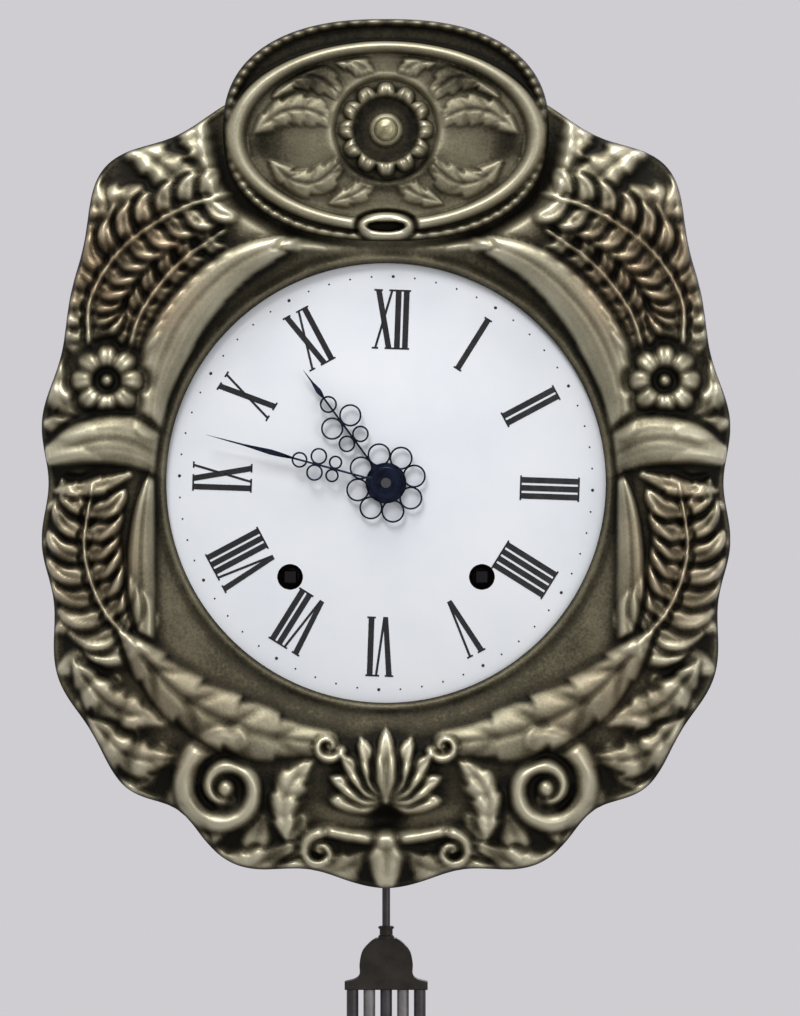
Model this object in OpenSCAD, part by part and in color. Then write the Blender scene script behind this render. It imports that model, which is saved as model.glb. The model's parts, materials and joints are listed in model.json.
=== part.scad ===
// Comtoise wall clock: embossed brass surround, enamel dial, iron cage with two trains, pendulum.
// Millimetres. +Z is up, the dial faces -Y, the wall is the plane y = 0, the origin is the nail hole.
// Inside the modules x and z are measured from the dial centre, and placed() drops them under the nail.

/* [Wall hanger] */
// Height of the nail hole above the dial centre
hang_h = 150; // [145:1:160]
// Radius of the nail hole
nail_hole_r = 5; // [3:0.5:7]
// Width of the hanger strap
strap_w = 30; // [24:1:40]
// Thickness of the hanger strap
strap_t = 3; // [2:0.5:4]
// Length of the strap's tab on the top plate
strap_tab = 60; // [50:1:66]
// Space between the wall and the back plate
wall_gap = 16; // [12:1:24]
// Radius of a wall foot's stem
foot_r = 4; // [3:0.5:6]

/* [Cage] */
// Width of the top and bottom plates
cage_w = 236; // [232:1:244]
// Depth of the top and bottom plates
cage_d = 119; // [117:1:125]
// Height of the cage above the dial centre
cage_top = 110; // [109:1:116]
// Depth of the cage below the dial centre
cage_bottom = 125; // [118:1:135]
// Thickness of the top and bottom plates
plate_t = 5; // [4:0.5:7]
// Side of a square corner post
post_s = 10; // [8:0.5:11]
// Width of an upright bar
bar_w = 18; // [16:0.5:20]
// Thickness of an upright bar
bar_t = 5; // [4:0.5:6]
// Thickness of the back plate
back_t = 1.2; // [0.8:0.1:2]
// Wall of a pivot bush
bush_wall = 2; // [1.5:0.1:2.5]

/* [Doors] */
// Thickness of a door's sheet
door_t = 1; // [0.6:0.1:1.6]
// Radius of a hinge pin
hinge_pin_r = 1.25; // [1:0.05:1.5]
// Outside radius of a hinge knuckle
knuckle_r = 2.5; // [2.2:0.1:3]
// Radius of a door knob
knob_r = 4; // [3:0.5:6]

/* [Bell and hammer] */
// Radius of the bell's mouth
bell_r = 55; // [48:1:57]
// Height of the bell
bell_h = 43; // [38:1:48]
// Wall of the bell
bell_wall = 2.5; // [2:0.25:3.5]
// Height of the bell's mouth over the top plate
bell_lift = 20; // [17:1:24]
// Radius of the bell stand
stand_r = 4; // [3:0.5:5]
// Radius of the hammer head
hammer_r = 7; // [5:0.5:8]
// Radius of the hammer arbor
hammer_arbor_r = 3; // [2.5:0.25:3.5]

/* [Dial] */
// Radius of the enamel dial
dial_r = 116; // [114:0.5:118]
// Thickness of the dial
dial_t = 2; // [1.5:0.25:3]
// Rise of the domed dial
dial_sag = 6; // [4:0.5:8]
// Radius of a winding hole
key_hole_r = 6.5; // [5.5:0.25:7.5]
// Thickness of the sheet-iron false plate
false_t = 1.5; // [1:0.25:2]
// Half height of the false plate
false_half_h = 106; // [104:1:110]

/* [Hands] */
// Reach of the minute hand
minute_l = 93; // [84:1:98]
// Reach of the hour hand
hour_l = 70; // [60:1:72]
// Thickness of a hand
hand_t = 1.5; // [1:0.25:2]
// Minute that the hands show at rest
shown_minute = 47.5; // [0:0.5:59.5]
// Hour that the hands show at rest
shown_hour = 10; // [0:1:11]

/* [Surround] */
// Half width of the surround
surround_half_w = 171; // [166:1:178]
// Depth of the surround below the dial centre
surround_drop = 201; // [195:1:210]
// Width of the oval crest
crest_w = 163; // [155:1:168]
// Height of the oval crest
crest_h = 111; // [104:1:116]
// Height of the crest's middle over the dial centre
crest_z = 176.5; // [172:0.5:182]
// Thickness of the embossed sheet
sheet_t = 1; // [0.7:0.1:1.5]
// Swell of the embossed sheet
swell = 12; // [8:0.5:15]
// Overlap of the surround on the dial
lip = 6; // [4:0.5:8]

/* [Going train] */
// Distance of the outer bars from the middle
train_x = 48; // [47:0.5:50]
// Depth of the drums below the dial centre
drum_drop = 47; // [45:0.5:49]
// Rise from the centre arbor to the third arbor
third_rise = 36; // [35:0.5:37]
// Rise from the third arbor to the escape arbor
escape_rise = 32; // [31:0.5:33]
// Rise from the escape arbor to the pallet arbor
pallet_rise = 26; // [25:0.5:26.5]
// Radius of a drum's barrel
barrel_r = 20; // [18:0.5:21]
// Radius of a drum's flange
flange_r = 26; // [24:0.5:28]
// Radius of a drum arbor
drum_arbor_r = 5; // [4.5:0.25:5.5]
// Across the flats of a winding square
winding_square = 5.5; // [5:0.1:5.6]
// Radius of the centre arbor
centre_r = 2.5; // [2.2:0.05:2.5]
// Radius of a train arbor
arbor_r = 2.2; // [2:0.1:2.3]
// Radius of a train pivot
pivot_r = 1.5; // [1.2:0.1:1.8]

/* [Strike train] */
// Rise from the strike drum to the pin wheel
pin_rise = 46; // [45:0.5:47]
// Rise from the pin wheel to the warning wheel
warning_rise = 26; // [25.5:0.25:26.5]
// Rise from the warning wheel to the fly
fly_rise = 25.5; // [25:0.25:26]
// Reach of the fly's vane
fly_reach = 22; // [18:0.5:22]

/* [Pendulum] */
// Length from the suspension pin to the middle of the bob
pendulum_l = 994; // [900:2:1100]
// Swing to each side, in degrees
swing = 4; // [2:0.5:4]
// Radius of the leader wire
leader_r = 2; // [1.5:0.1:2.5]
// Radius of the suspension pin
pin_r = 1.5; // [1.2:0.1:1.8]
// Drop from the suspension pin to the grid's crown
crown_drop = 324; // [315:1:345]
// Radius of a grid rod
grid_r = 3; // [2:0.25:3.5]
// Distance between grid rods
grid_step = 8.5; // [8:0.5:11]
// Space between the grid and the bob
bob_gap = 60; // [30:1:120]
// Radius of the bob
bob_r = 80; // [65:1:90]
// Thickness of the bob
bob_t = 22; // [18:1:28]

/* [Hidden] */
$fn = 64;
eps = 1;

// Clearances
press_gap = 0.02;
run_gap = 0.05;
face_gap = 0.3;
shake = 0.5;
backlash = 0.1;
pallet_clear = 0.3;
slide_gap = 0.3;

// Planes from the wall to the front
back_y1 = -wall_gap;
cage_y1 = back_y1 - back_t;
cage_y0 = cage_y1 - cage_d;
bar_inset = 4;
fbar_y0 = cage_y0 + bar_inset;
fbar_y1 = fbar_y0 + bar_t;
rbar_y1 = cage_y1 - bar_inset;
rbar_y0 = rbar_y1 - bar_t;
crutch_t = 2.3;
crutch_y1 = fbar_y0 - 1;
crutch_y0 = crutch_y1 - crutch_t;
pend_gap = 2.8;
pend_y = cage_y0 - pend_gap - leader_r;
cheek_t = 2;
leader_half = leader_r + 0.4;
rear_cheek_y0 = pend_y + leader_half + shake;
front_cheek_y1 = pend_y - leader_half - shake;
front_cheek_y0 = front_cheek_y1 - cheek_t;
work_y = front_cheek_y0 - 2;
cannon_t = 3;
minute_wheel_y = [work_y - 2.5, work_y - 0.5];
minute_pinion_y = [work_y - 9, work_y - 2.5];
hour_wheel_y = [work_y - 8, work_y - 5.5];
snail_y = [work_y - 11, work_y - 9];
false_y1 = work_y - 12;
false_y0 = false_y1 - false_t;
dial_y0 = false_y0 - dial_t - dial_sag;
hour_hand_y = [dial_y0 - 1.7 - hand_t, dial_y0 - 1.7];
minute_hand_y = [hour_hand_y[0] - 1 - hand_t, hour_hand_y[0] - 1];
nut_t = 2.5;

// Heights and places
top_z0 = cage_top;
top_z1 = cage_top + plate_t;
bottom_z1 = -cage_bottom;
bottom_z0 = bottom_z1 - plate_t;
post_x1 = cage_w / 2 - 1;
post_x0 = post_x1 - post_s;
post_x = (post_x0 + post_x1) / 2;
post_front = [cage_y0 + 1, cage_y0 + 1 + post_s];
post_rear = [cage_y1 - post_s, cage_y1];
// The surround's studs, at 45 degrees and clear of the dial and its clips
stud_place = (dial_r + 24) * sin(45);
dial_seat = 16;
false_half_w = cage_w / 2 + 3;
pillar_z = stud_place - 18;
thread_l = 12;
bite = 10;
pillar_r = 4;
screw_r = 1.5;
head_r = 3.5;
head_t = 1.5;
back_screw_z = [-100, 88];
post_floor = 1;
strap_screw_in = 12;
strap_screw_step = 20;
strap_screw_y = [for (k = [0, 1]) strap_screw_in + k * strap_screw_step - strap_tab];
foot_at = [post_x - 12, -100];

// Arbors, as x and z from the dial centre
centre_at = [0, 0];
third_at = [0, third_rise];
escape_at = [0, third_rise + escape_rise];
pallet_at = escape_at + [0, pallet_rise];
going_at = [train_x, -drum_drop];
strike_at = [-train_x, -drum_drop];
pin_wheel_at = strike_at + [0, pin_rise];
warning_at = pin_wheel_at + [0, warning_rise];
fly_at = warning_at + [0, fly_rise];
motion_drop = 26;
minute_at = [0, -motion_drop];

// Bearings: place and pivot radius
drum_pivot_r = 4;
bearings = [
    [going_at, drum_pivot_r],
    [strike_at, drum_pivot_r],
    [centre_at, centre_r],
    [third_at, pivot_r],
    [escape_at, pivot_r],
    [pallet_at, pivot_r],
    [pin_wheel_at, pivot_r],
    [warning_at, pivot_r],
    [fly_at, pivot_r]
];

// Teeth
great_n = 84;
centre_leaves = 7;
centre_n = 64;
third_n = 60;
escape_n = 30;
train_leaves = 8;
cannon_leaves = 12;
minute_n = 36;
minute_leaves = 10;
hour_n = 40;
pin_n = 56;
warning_n = 48;
ratchet_n = 24;
wheel_add = 1.2;
wheel_ded = 1.4;
leaf_add = 0.6;
leaf_ded = 1.75;
leaf_thick = 1.1;
function module_of(a, b, n, leaves) = 2 * norm(b - a) / (n + leaves);
function heading(a, b) = atan2(b[1] - a[1], b[0] - a[0]);
going_m = module_of(going_at, centre_at, great_n, centre_leaves);
centre_m = module_of(centre_at, third_at, centre_n, train_leaves);
third_m = module_of(third_at, escape_at, third_n, train_leaves);
cannon_m = module_of(centre_at, minute_at, minute_n, cannon_leaves);
hour_m = module_of(centre_at, minute_at, hour_n, minute_leaves);
strike_m = module_of(strike_at, pin_wheel_at, great_n, train_leaves);
pin_m = module_of(pin_wheel_at, warning_at, pin_n, train_leaves);
warning_m = module_of(warning_at, fly_at, warning_n, train_leaves);

// Planes of the trains, by their distances from the front or the rear bars
great_t = 3;
wheel_t = 2.5;
thin_wheel_t = 2;
going_great_in = 12;
centre_wheel_in = 26;
third_wheel_in = 44;
escape_wheel_in = 25;
strike_great_in = 14;
pin_wheel_in = 34.5;
warning_wheel_in = 45;
fly_vane_in = 63;
fly_vane_l = 28;
function behind(d, t) = [fbar_y1 + d, fbar_y1 + d + t];
function ahead(d, t) = [rbar_y0 - d - t, rbar_y0 - d];
going_great_y = behind(going_great_in, great_t);
centre_wheel_y = behind(centre_wheel_in, wheel_t);
third_wheel_y = behind(third_wheel_in, wheel_t);
escape_wheel_y = ahead(escape_wheel_in, thin_wheel_t);
strike_great_y = ahead(strike_great_in, great_t);
pin_wheel_y = ahead(pin_wheel_in, wheel_t);
warning_wheel_y = ahead(warning_wheel_in, thin_wheel_t);
fly_vane_y = ahead(fly_vane_in, fly_vane_l);
leaf_over = 4;
great_rim = 8;
great_web_r = 39;
great_spoke = 9;

// Drums
going_drum_in = 19;
strike_drum_in = 21;
cord_slot_in = 22;
cord_room = 6;
ratchet_t = 3;
ratchet_r = 19;
ratchet_depth = 3;
flange_t = 2;
collar_t = 2;
collar_r = drum_arbor_r + 3;
square_over = 2.5;
click_gap = 0.5;
click_pivot_r = 2;
click_hub_r = click_pivot_r + 2.5;
click_orbit = 32;
spring_gap = 1.4;

// Escapement
escape_r = pallet_rise * sin(45);
pallet_off = pallet_rise * (sin(45) - sin(45 - swing)) + pallet_clear;
anchor_y = [escape_wheel_y[0] - 1.5, escape_wheel_y[1] + 1.5];
crutch_l = 44;
crutch_fork_z = pallet_at[1] - crutch_l;

// Motion work pipes
cannon_pipe_r = 4.5;
hour_pipe_r = 6.2;
hour_pipe_bore = cannon_pipe_r + run_gap;
dial_hole_r = hour_pipe_r + 1.8;
hour_hub_r = hour_pipe_r + 4;
minute_hub_r = cannon_pipe_r + 3.5;
washer_r = cannon_pipe_r + 2;
washer_t = 0.8;

// Rings of a pierced hand: distance from its middle, place along it and outer radius
hour_rings = [[4.2, 0.39, 4.2], [5.6, 0.54, 5.6], [0, 0.695, 4.3]];
minute_rings = [[3.4, 0.29, 3.4], [4.2, 0.385, 4.2], [0, 0.48, 4]];
hour_tip = 0.755;
minute_tip = 0.52;
ring_wall = 0.9;
spine_half = 0.5;
tip_half = 1.4;
hub_loops = 8;
hub_loop_at = 14.5;
hub_loop_r = 5.8;

// Minute wheel's stud and the strike's snail
stud_r = 2.2;
stud_step = 1.3;
snail_r = 20;
snail_step = 0.9;

// Rack
rack_x = [-36, -28];
rack_y = [work_y - 4.5, work_y - 1.5];
rack_z = [-82, 74];
rack_teeth_z = -20;
rack_finger_z = [snail_r + 0.6, snail_r + 4.6];
guide_z = 62;
guide_h = 8;

// Hammer
hammer_at = [-78, rbar_y0 - 6.8];
bell_at = [0, (cage_y0 + cage_y1) / 2];
hammer_z = top_z1 + bell_lift + 5;
hammer_path_r = bell_r + hammer_r + 0.6;
hammer_span = norm(hammer_at - bell_at);
hammer_head_a = heading(bell_at, hammer_at) + acos(hammer_path_r / hammer_span);
hammer_head_at = bell_at + hammer_path_r * [cos(hammer_head_a), sin(hammer_head_a)];
strike_pin_r = 1.5;
strike_pin_l = 5;
strike_pin_orbit = 16;
tail_off = (strike_pin_orbit + strike_pin_r + shake) * sin(45) + 0.3;
tail_z = pin_wheel_at[1] + tail_off;
tail_x = pin_wheel_at[0] - tail_off;

// Doors
hinge_x = cage_w / 2 + knuckle_r;
hinge_y = cage_y1 - 5;
door_x0 = cage_w / 2 - 1 + face_gap;
door_y0 = post_front[0];
door_y1 = hinge_y - 2;
door_gap = 0.5;
knuckle_h = 12;
knuckle_z = [-96, 70];
ear_w = 6;
knuckle_leaf = 6;
knob_y = door_y0 + 10;

// Pendulum
pivot_z = pallet_at[1];
loop_half = 16;
loop_bar = 4;
loop_top_z = 6;
loop_bottom_z = -34;
crown_z = pivot_z - crown_drop;
crown_h = 22;
crown_t = 8;
leader_bite = 8;
crossbar_h = 4;
grid_half = 2 * grid_step + grid_r + 1;
grid_z1 = crown_z - crown_h - crossbar_h;
bob_z = pivot_z - pendulum_l;
grid_z0 = bob_z + bob_r + bob_gap + crossbar_h;
tail_rod_r = 3;
nut_r = 7;
nut_h = 6;
tail_end_z = bob_z - bob_r - 18;

// Surround outline and relief
crest_a = crest_w / 2;
crest_b = crest_h / 2;
edge_power = 2.5;
oval_power = 2.4;
crest_inset = 2;
edge_h = 4;
lip_h = dial_t + 2 + sheet_t;
flat_h = 6;
crest_seat = 0.4;
facet_gap = 0.1;
crest_rise = 15;
boss_r = 6.5;
surround_in = dial_r - lip;
scallops = 36;
scallop_h = 2;
// Leafy lobes of the outline: degrees from the top, spread, height
edge_lobes = [[43, 8, 11], [62, 8, -5], [122, 10, 3], [147, 6, -8], [167, 7, -4]];
// Plain band round the dial, and the width over which the foliage rises beyond it
band_w = 4;
rise_w = 4;
// Foliage fades over this width at the edge
hem_w = 2.5;
// Plain pads over the studs: radius, and width of their slope
pad_r = 4;
pad_slope = 5;
// Half-round bead next to the dial
bead_r = 2.4;
bead_h = 3.6;
// Sunk place under the palmette: height of its middle, depth, half height, how much wider than high
recess_z = -168;
recess_h = 9;
recess_r = 6.5;
recess_wide = 1.7;
angles_n = 168;
rings_n = 19;
fix_stud_r = 2.5;
fix_nut_t = 3;
stud_over = 1;

brass_old = [0.52, 0.48, 0.39];
brass = [0.74, 0.60, 0.32];
iron = [0.30, 0.29, 0.28];
steel = [0.60, 0.60, 0.62];
enamel = [0.95, 0.94, 0.90];
blued = [0.15, 0.17, 0.30];

// Shared shapes

module placed() {
    translate([0, 0, -hang_h]) children();
}

module along_y(at, y, r) {
    translate([at[0], y[0], at[1]]) rotate([-90, 0, 0]) cylinder(r = r, h = y[1] - y[0]);
}

module flat_y(y) {
    translate([0, y[1], 0]) rotate([90, 0, 0]) linear_extrude(height = y[1] - y[0]) children();
}

module block(x, y, z) {
    translate([x[0], y[0], z[0]]) cube([x[1] - x[0], y[1] - y[0], z[1] - z[0]]);
}

module both_sides() {
    children();
    mirror([1, 0, 0]) children();
}

function polar(r, a) = [r * cos(a), r * sin(a)];

// A turned shape on an axis along Y: its outline is radius and distance before the plane y
module turned(at, y, outline) {
    translate([at[0], y, at[1]]) rotate([90, 0, 0]) rotate_extrude() polygon(outline);
}

// Rise of a shallow dome of radius r and height h, at distance d from its axis
function dome_rise(r, h, d) =
    let (ball_r = (r * r + h * h) / (2 * h))
    sqrt(ball_r * ball_r - d * d) - ball_r + h;

// Past both faces of a slab, for cutting through it
function through(y) = [y[0] - eps, y[1] + eps];

// Turn of an epicycloid flank about the wheel's centre, at radius r
function flank_turn(pitch_r, roll_r, r) =
    let (reach = pitch_r + roll_r)
    let (spin = acos((reach * reach + roll_r * roll_r - r * r) / (2 * reach * roll_r)))
    let (turn = spin * roll_r / pitch_r)
    let (x = reach * cos(turn) - roll_r * cos(turn + spin))
    let (y = reach * sin(turn) - roll_r * sin(turn + spin))
    atan2(y, x);

function toothed(n, profile) =
    [for (k = [0:n - 1]) for (p = profile) polar(p[0], k * 360 / n + p[1])];

function wheel_points(n, mod, leaves) =
    let (pitch_r = mod * n / 2)
    let (root_r = pitch_r - wheel_ded * mod)
    let (tip_r = pitch_r + wheel_add * mod)
    let (half = 90 / n - backlash / pitch_r * 90 / PI)
    let (tip = half - flank_turn(pitch_r, mod * leaves / 4, tip_r))
    toothed(n, [[root_r, -half], [pitch_r, -half], [tip_r, -tip],
        [tip_r, tip], [pitch_r, half], [root_r, half]]);

function pinion_points(leaves, mod) =
    let (pitch_r = mod * leaves / 2)
    let (root_r = pitch_r - leaf_ded * mod)
    let (tip_r = pitch_r + leaf_add * mod)
    let (half = leaf_thick * mod / pitch_r * 90 / PI)
    toothed(leaves, [[root_r, -half], [pitch_r, -half], [tip_r, -half / 3],
        [tip_r, half / 3], [pitch_r, half], [root_r, half]]);

function saw_points(n, tip_r, depth) =
    toothed(n, [[tip_r - depth, 0.1 * 360 / n], [tip_r, 0.9 * 360 / n], [tip_r, 0.98 * 360 / n]]);

module gear(at, y, points, turn) {
    flat_y(y) translate(at) rotate(turn) polygon(points);
}

// A pinion whose gap faces the wheel at the given heading
module pinion(at, y, leaves, mod, facing) {
    gear(at, y, pinion_points(leaves, mod), facing + 180 / leaves);
}

// Openings between the spokes of a wheel
module crossings(at, y, rim_r, hub_r, spokes, spoke_w) {
    difference() {
        along_y(at, through(y), rim_r);
        along_y(at, through(through(y)), hub_r);
        for (k = [0:spokes - 1])
            translate([at[0], y[0] - 2 * eps, at[1]]) rotate([0, k * 360 / spokes, 0])
                translate([-spoke_w / 2, 0, 0]) cube([spoke_w, y[1] - y[0] + 4 * eps, rim_r + eps]);
    }
}

module arbor(at, r, end_r) {
    along_y(at, [fbar_y1 + shake, rbar_y0 - shake], r);
    along_y(at, [fbar_y0, rbar_y1], end_r);
}

function widened(y, over) = [y[0] - over, y[1] + over];

// Embossed surround

function from_top(phi) = acos(max(-1, min(1, sin(phi))));
function bell_curve(d, w) = exp(-pow(d / w, 2));
function total(list) = list * [for (v = list) 1];

function body_edge(phi) =
    pow(pow(abs(cos(phi)) / surround_half_w, edge_power)
        + pow(abs(sin(phi)) / surround_drop, edge_power), -1 / edge_power);

// Under 1 inside the crest's oval
function oval(x, z, inset) =
    pow(abs(x) / (crest_a - inset), oval_power) + pow(abs(z - crest_z) / (crest_b - inset), oval_power);

// Where a ray from the dial centre leaves the oval, by halving the stretch between near and far
function leave_oval(phi, near, far, steps) =
    let (mid = (near + far) / 2)
    let (inside = oval(mid * cos(phi), mid * sin(phi), crest_inset) < 1)
    steps == 0 ? mid : leave_oval(phi, inside ? mid : near, inside ? far : mid, steps - 1);

function crest_edge(phi) =
    let (near = crest_z * sin(phi))
    near > 0 && oval(near * cos(phi), near * sin(phi), crest_inset) < 1
        ? leave_oval(phi, near, crest_z + crest_h, 24) : 0;

function surround_edge(phi) =
    max(crest_edge(phi), body_edge(phi)
        + total([for (l = edge_lobes) l[2] * bell_curve(from_top(phi) - l[0], l[1])])
        + scallop_h * cos(scallops * from_top(phi) / 2));

function step_up(v) = let (s = max(0, min(1, v))) s * s * (3 - 2 * s);

// 0 under the crest, 1 away from it
function off_crest(x, z) = step_up((oval(x, z, 0) - 1.18) / 0.5);

// A smooth line through a few points
function spline(p, steps) =
    let (n = len(p) - 1)
    [for (k = [0:n * steps])
        let (i = min(floor(k / steps), n - 1), f = k / steps - i)
        let (a = i == 0 ? 2 * p[0] - p[1] : p[i - 1], b = p[i], c = p[i + 1])
        let (d = i == n - 1 ? 2 * p[n] - p[n - 1] : p[i + 2])
        let (bend = 2 * a - 5 * b + 4 * c - d, twist = 3 * b - a - 3 * c + d)
        b + (f * (c - a) + f * f * bend + f * f * f * twist) / 2];

// A raised strip along a line: half width at its root and at its tip, height, whether it is a leaf,
// and the corners of the box that it can touch
function strip(path, half, end_half, rise, leafy) =
    let (reach = 1.6 * half)
    [path, half, end_half, rise, leafy,
        [for (c = [0, 1]) min([for (q = path) q[c]]) - reach],
        [for (c = [0, 1]) max([for (q = path) q[c]]) + reach]];

function leaf(points, half, rise) = strip(spline(points, 4), half, half, rise, true);

function moulding(points, half, end_half, rise) = strip(spline(points, 4), half, end_half, rise, false);

// A scroll that winds in to its eye, clockwise
function volute(at, radius, turns, first, half, rise) =
    let (steps = 18)
    strip([for (k = [0:steps]) let (t = k / steps)
        at + polar(radius * (1 - 0.78 * pow(t, 0.9)), first - 360 * turns * t)],
        half, half / 2, rise, false);

// Leaflets in pairs along a stem, on a raised bed
function frond(points, pairs, length, half, rise, spread, shrink, bed_half, bed_rise) =
    let (stem = spline(points, 12), last = len(stem) - 3)
    concat([moulding(points, bed_half, bed_half * (1 - shrink), bed_rise)],
        [for (k = [0:pairs - 1]) for (side = [-1, 1])
            let (i = floor((k + 0.4) / pairs * last), way = stem[i + 2] - stem[i])
            let (lean = atan2(way[1], way[0]), reach = length * (1 - shrink * k / pairs))
            let (mid = stem[i] + polar(reach / 2, lean + side * (spread + 14)))
            leaf([stem[i], mid, mid + polar(reach / 2, lean + side * (spread - 18))],
                half * (1 - 0.4 * shrink * k / pairs), rise)]);

function petals(at, radius, n, rise) =
    [for (k = [0:n - 1])
        leaf([for (share = [0.3, 0.7, 1]) at + polar(share * radius, k * 360 / n)], radius / 2.4, rise)];

// Ribs of the palmette at the bottom, the outer ones first
function palmette(at, n, turn, length, shrink, half, rise) =
    [for (k = [n - 1:-1:0]) let (a = 90 - turn * k)
        leaf([at, at + polar(length / 2, a), at + polar(length - shrink * k, a)], half, rise)];

// A leaf in each scallop of the edge, from one degree off the top to another
function edge_leaves(first, last, length, half, rise) =
    [for (top = [first:720 / scallops:last])
        let (phi = 90 - top, far = surround_edge(phi))
        leaf([polar(far - length, phi), polar(far - length / 2, phi), polar(far, phi)], half, rise)];

// Foliage of the right side, each form laid over those before it; the left side mirrors it
foliage = concat(
    edge_leaves(60, 160, 26, 9, 6.5),
    // beside the crest
    [leaf([[84, 146], [95, 168], [94, 192]], 12, 9),
        leaf([[106, 120], [132, 128], [158, 122]], 11, 8.5),
        leaf([[98, 132], [126, 140], [157, 137]], 12, 9),
        leaf([[92, 140], [112, 158], [132, 172]], 13, 9.5)],
    // garland, and the smooth leaf between it and the dial
    frond([[144, 70], [141, 92], [126, 114], [102, 132], [76, 142]], 5, 28, 9, 6.5, 50, 0.25, 17, 5),
    [leaf([[118, 28], [114, 54], [100, 83], [75, 108], [43, 122]], 12, 9.5),
        leaf([[152, 34], [163, 44], [164, 62]], 8, 7.5)],
    petals([139, 51], 18.5, 6, 9.5),
    // lower side
    frond([[124, -84], [141, -62], [149, -34], [147, -4]], 4, 31, 9.5, 6.5, 50, 0.25, 18, 5),
    [leaf([[119, -82], [122, -50], [121, -20], [117, 8]], 8.5, 8),
        moulding([[112, 14], [130, 20], [150, 20], [172, 14]], 12.5, 12, 9.5),
        leaf([[122, 3], [144, -2], [168, -4]], 8, 8),
        leaf([[112, -118], [136, -112], [156, -90]], 13, 9),
        leaf([[106, -138], [128, -136], [148, -118]], 12, 9),
        leaf([[92, -178], [116, -170], [136, -148]], 12, 8),
        leaf([[48, -182], [72, -192], [104, -184]], 10, 7.5),
        volute([80, -152], 24, 1.15, 100, 8, 9.5),
        leaf([[38, -138], [50, -156], [50, -178]], 9.5, 8),
        leaf([[30, -130], [66, -124], [102, -106], [132, -74]], 16, 9.5)],
    // bottom
    palmette([0, -158], 3, 38, 34, 3, 10, 10),
    [leaf([[6, -184], [26, -194], [54, -192]], 9, 7.5),
        moulding([[0, -178], [16, -176], [32, -176], [42, -184]], 7, 7, 9),
        leaf([[0, -178], [0, -188], [0, -203]], 10, 8.5)]);

// Distance from a line, and share of the way along it
function nearest(p, path) =
    let (n = len(path) - 1)
    let (hits = [for (i = [0:n - 1])
        let (v = path[i + 1] - path[i], t = max(0, min(1, (p - path[i]) * v / (v * v))))
        [norm(p - path[i] - t * v), (i + t) / n]])
    let (d = min([for (h = hits) h[0]]))
    [for (h = hits) if (h[0] == d) h][0];

// One form laid over the height h that is there, which sinks away at the form's edge
function laid(h, p, f) =
    let (near = nearest(p, f[0]), s = near[1])
    let (width = f[4] ? f[1] * (0.35 + 0.65 * step_up(s / 0.35)) * pow(max(0.02, 1 - pow(s, 3.2)), 0.6)
        : f[1] + (f[2] - f[1]) * s)
    let (u = near[0] / max(0.6, width), sunk = h * (1 - 0.6 * bell_curve(u - 1, 0.4)))
    let (crown = f[3] * pow(max(0, 1 - u * u), 0.8) * (f[4] ? 0.6 + 0.4 * step_up(1.6 * s) : 1))
    u < 1 ? max(crown + 0.35 * sunk, 0.6 * sunk) : sunk;

function foliage_at(p, k = 0, h = 0) =
    k == len(foliage) ? h
        : let (low = foliage[k][5], high = foliage[k][6])
            foliage_at(p, k + 1, p[0] < low[0] || p[0] > high[0] || p[1] < low[1] || p[1] > high[1]
                ? h : laid(h, p, foliage[k]));

// Height of the embossed face over the false plate, t runs from the dial to the edge
function relief(x, z, t) =
    let (base = lip_h * (1 - t) + edge_h * t)
    let (from_dial = norm([x, z]) - surround_in, from_edge = t == 0 ? 0 : from_dial * (1 - t) / t)
    let (share = max(0, from_dial - band_w) / max(band_w, from_dial + from_edge - band_w))
    let (mound = pow(max(0, sin(180 * pow(min(1, share), 0.8))), 0.7))
    let (fade = step_up((from_dial - band_w) / rise_w) * sqrt(step_up(from_edge / hem_w)))
    let (pad = step_up((norm([abs(x) - stud_place, abs(z) - stud_place]) - pad_r) / pad_slope))
    let (raised = fade * pad == 0 ? 0 : fade * pad * foliage_at([abs(x), z]))
    let (bead = bead_h * sqrt(max(0, 1 - pow(from_dial / bead_r - 1, 2))))
    let (sunk = recess_h * mound * bell_curve(norm([x / recess_wide, z - recess_z]), recess_r))
    base + bead + off_crest(x, z) * (swell * mound + raised - sunk)
        + (1 - off_crest(x, z)) * (flat_h - base) * min(1, mound);

// The same height at a place, by its own share of the way to the edge
function relief_at(p) =
    relief(p[0], p[1], (norm(p) - surround_in) / (surround_edge(atan2(p[1], p[0])) - surround_in));

// The first three rings carry the bead, the others are evenly spread
function surround_point(i, j) =
    let (phi = 90 + j * 360 / angles_n, width = surround_edge(phi) - surround_in)
    let (from_dial = i < 3 ? i * bead_r : 2 * bead_r + (width - 2 * bead_r) * (i - 2) / (rings_n - 3))
    let (p = polar(surround_in + from_dial, phi))
    [p[0], false_y0 - relief(p[0], p[1], from_dial / width), p[1]];

// Triangles of a ring-shaped sheet, front face first, then back, then both rims. Each cell is split
// along the diagonal whose ends lie nearest in y, so that edges follow the ridges.
function sheet_faces(rows, cols, y) =
    let (back = rows * cols)
    concat(
        [for (i = [0:rows - 2]) for (j = [0:cols - 1])
            let (k = (j + 1) % cols, a = i * cols + j, b = i * cols + k, c = b + cols, d = a + cols)
            let (rising = abs(y[a] - y[c]) <= abs(y[b] - y[d]))
            let (halves = rising ? [[a, b, c], [a, c, d]] : [[a, b, d], [b, c, d]])
            for (h = halves) for (f = [h, [back + h[2], back + h[1], back + h[0]]]) f],
        [for (j = [0:cols - 1]) let (k = (j + 1) % cols) let (o = (rows - 1) * cols)
            for (f = [
                [o + j, o + k, back + o + k], [o + j, back + o + k, back + o + j],
                [j, back + j, back + k], [j, back + k, k]]) f]);

module embossed_surround() {
    front = [for (i = [0:rings_n - 1]) for (j = [0:angles_n - 1]) surround_point(i, j)];
    color(brass_old) placed() polyhedron(
        points = concat(front, [for (p = front) p + [0, sheet_t, 0]]),
        faces = sheet_faces(rings_n, angles_n, [for (p = front) p[1]]));
}

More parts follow.
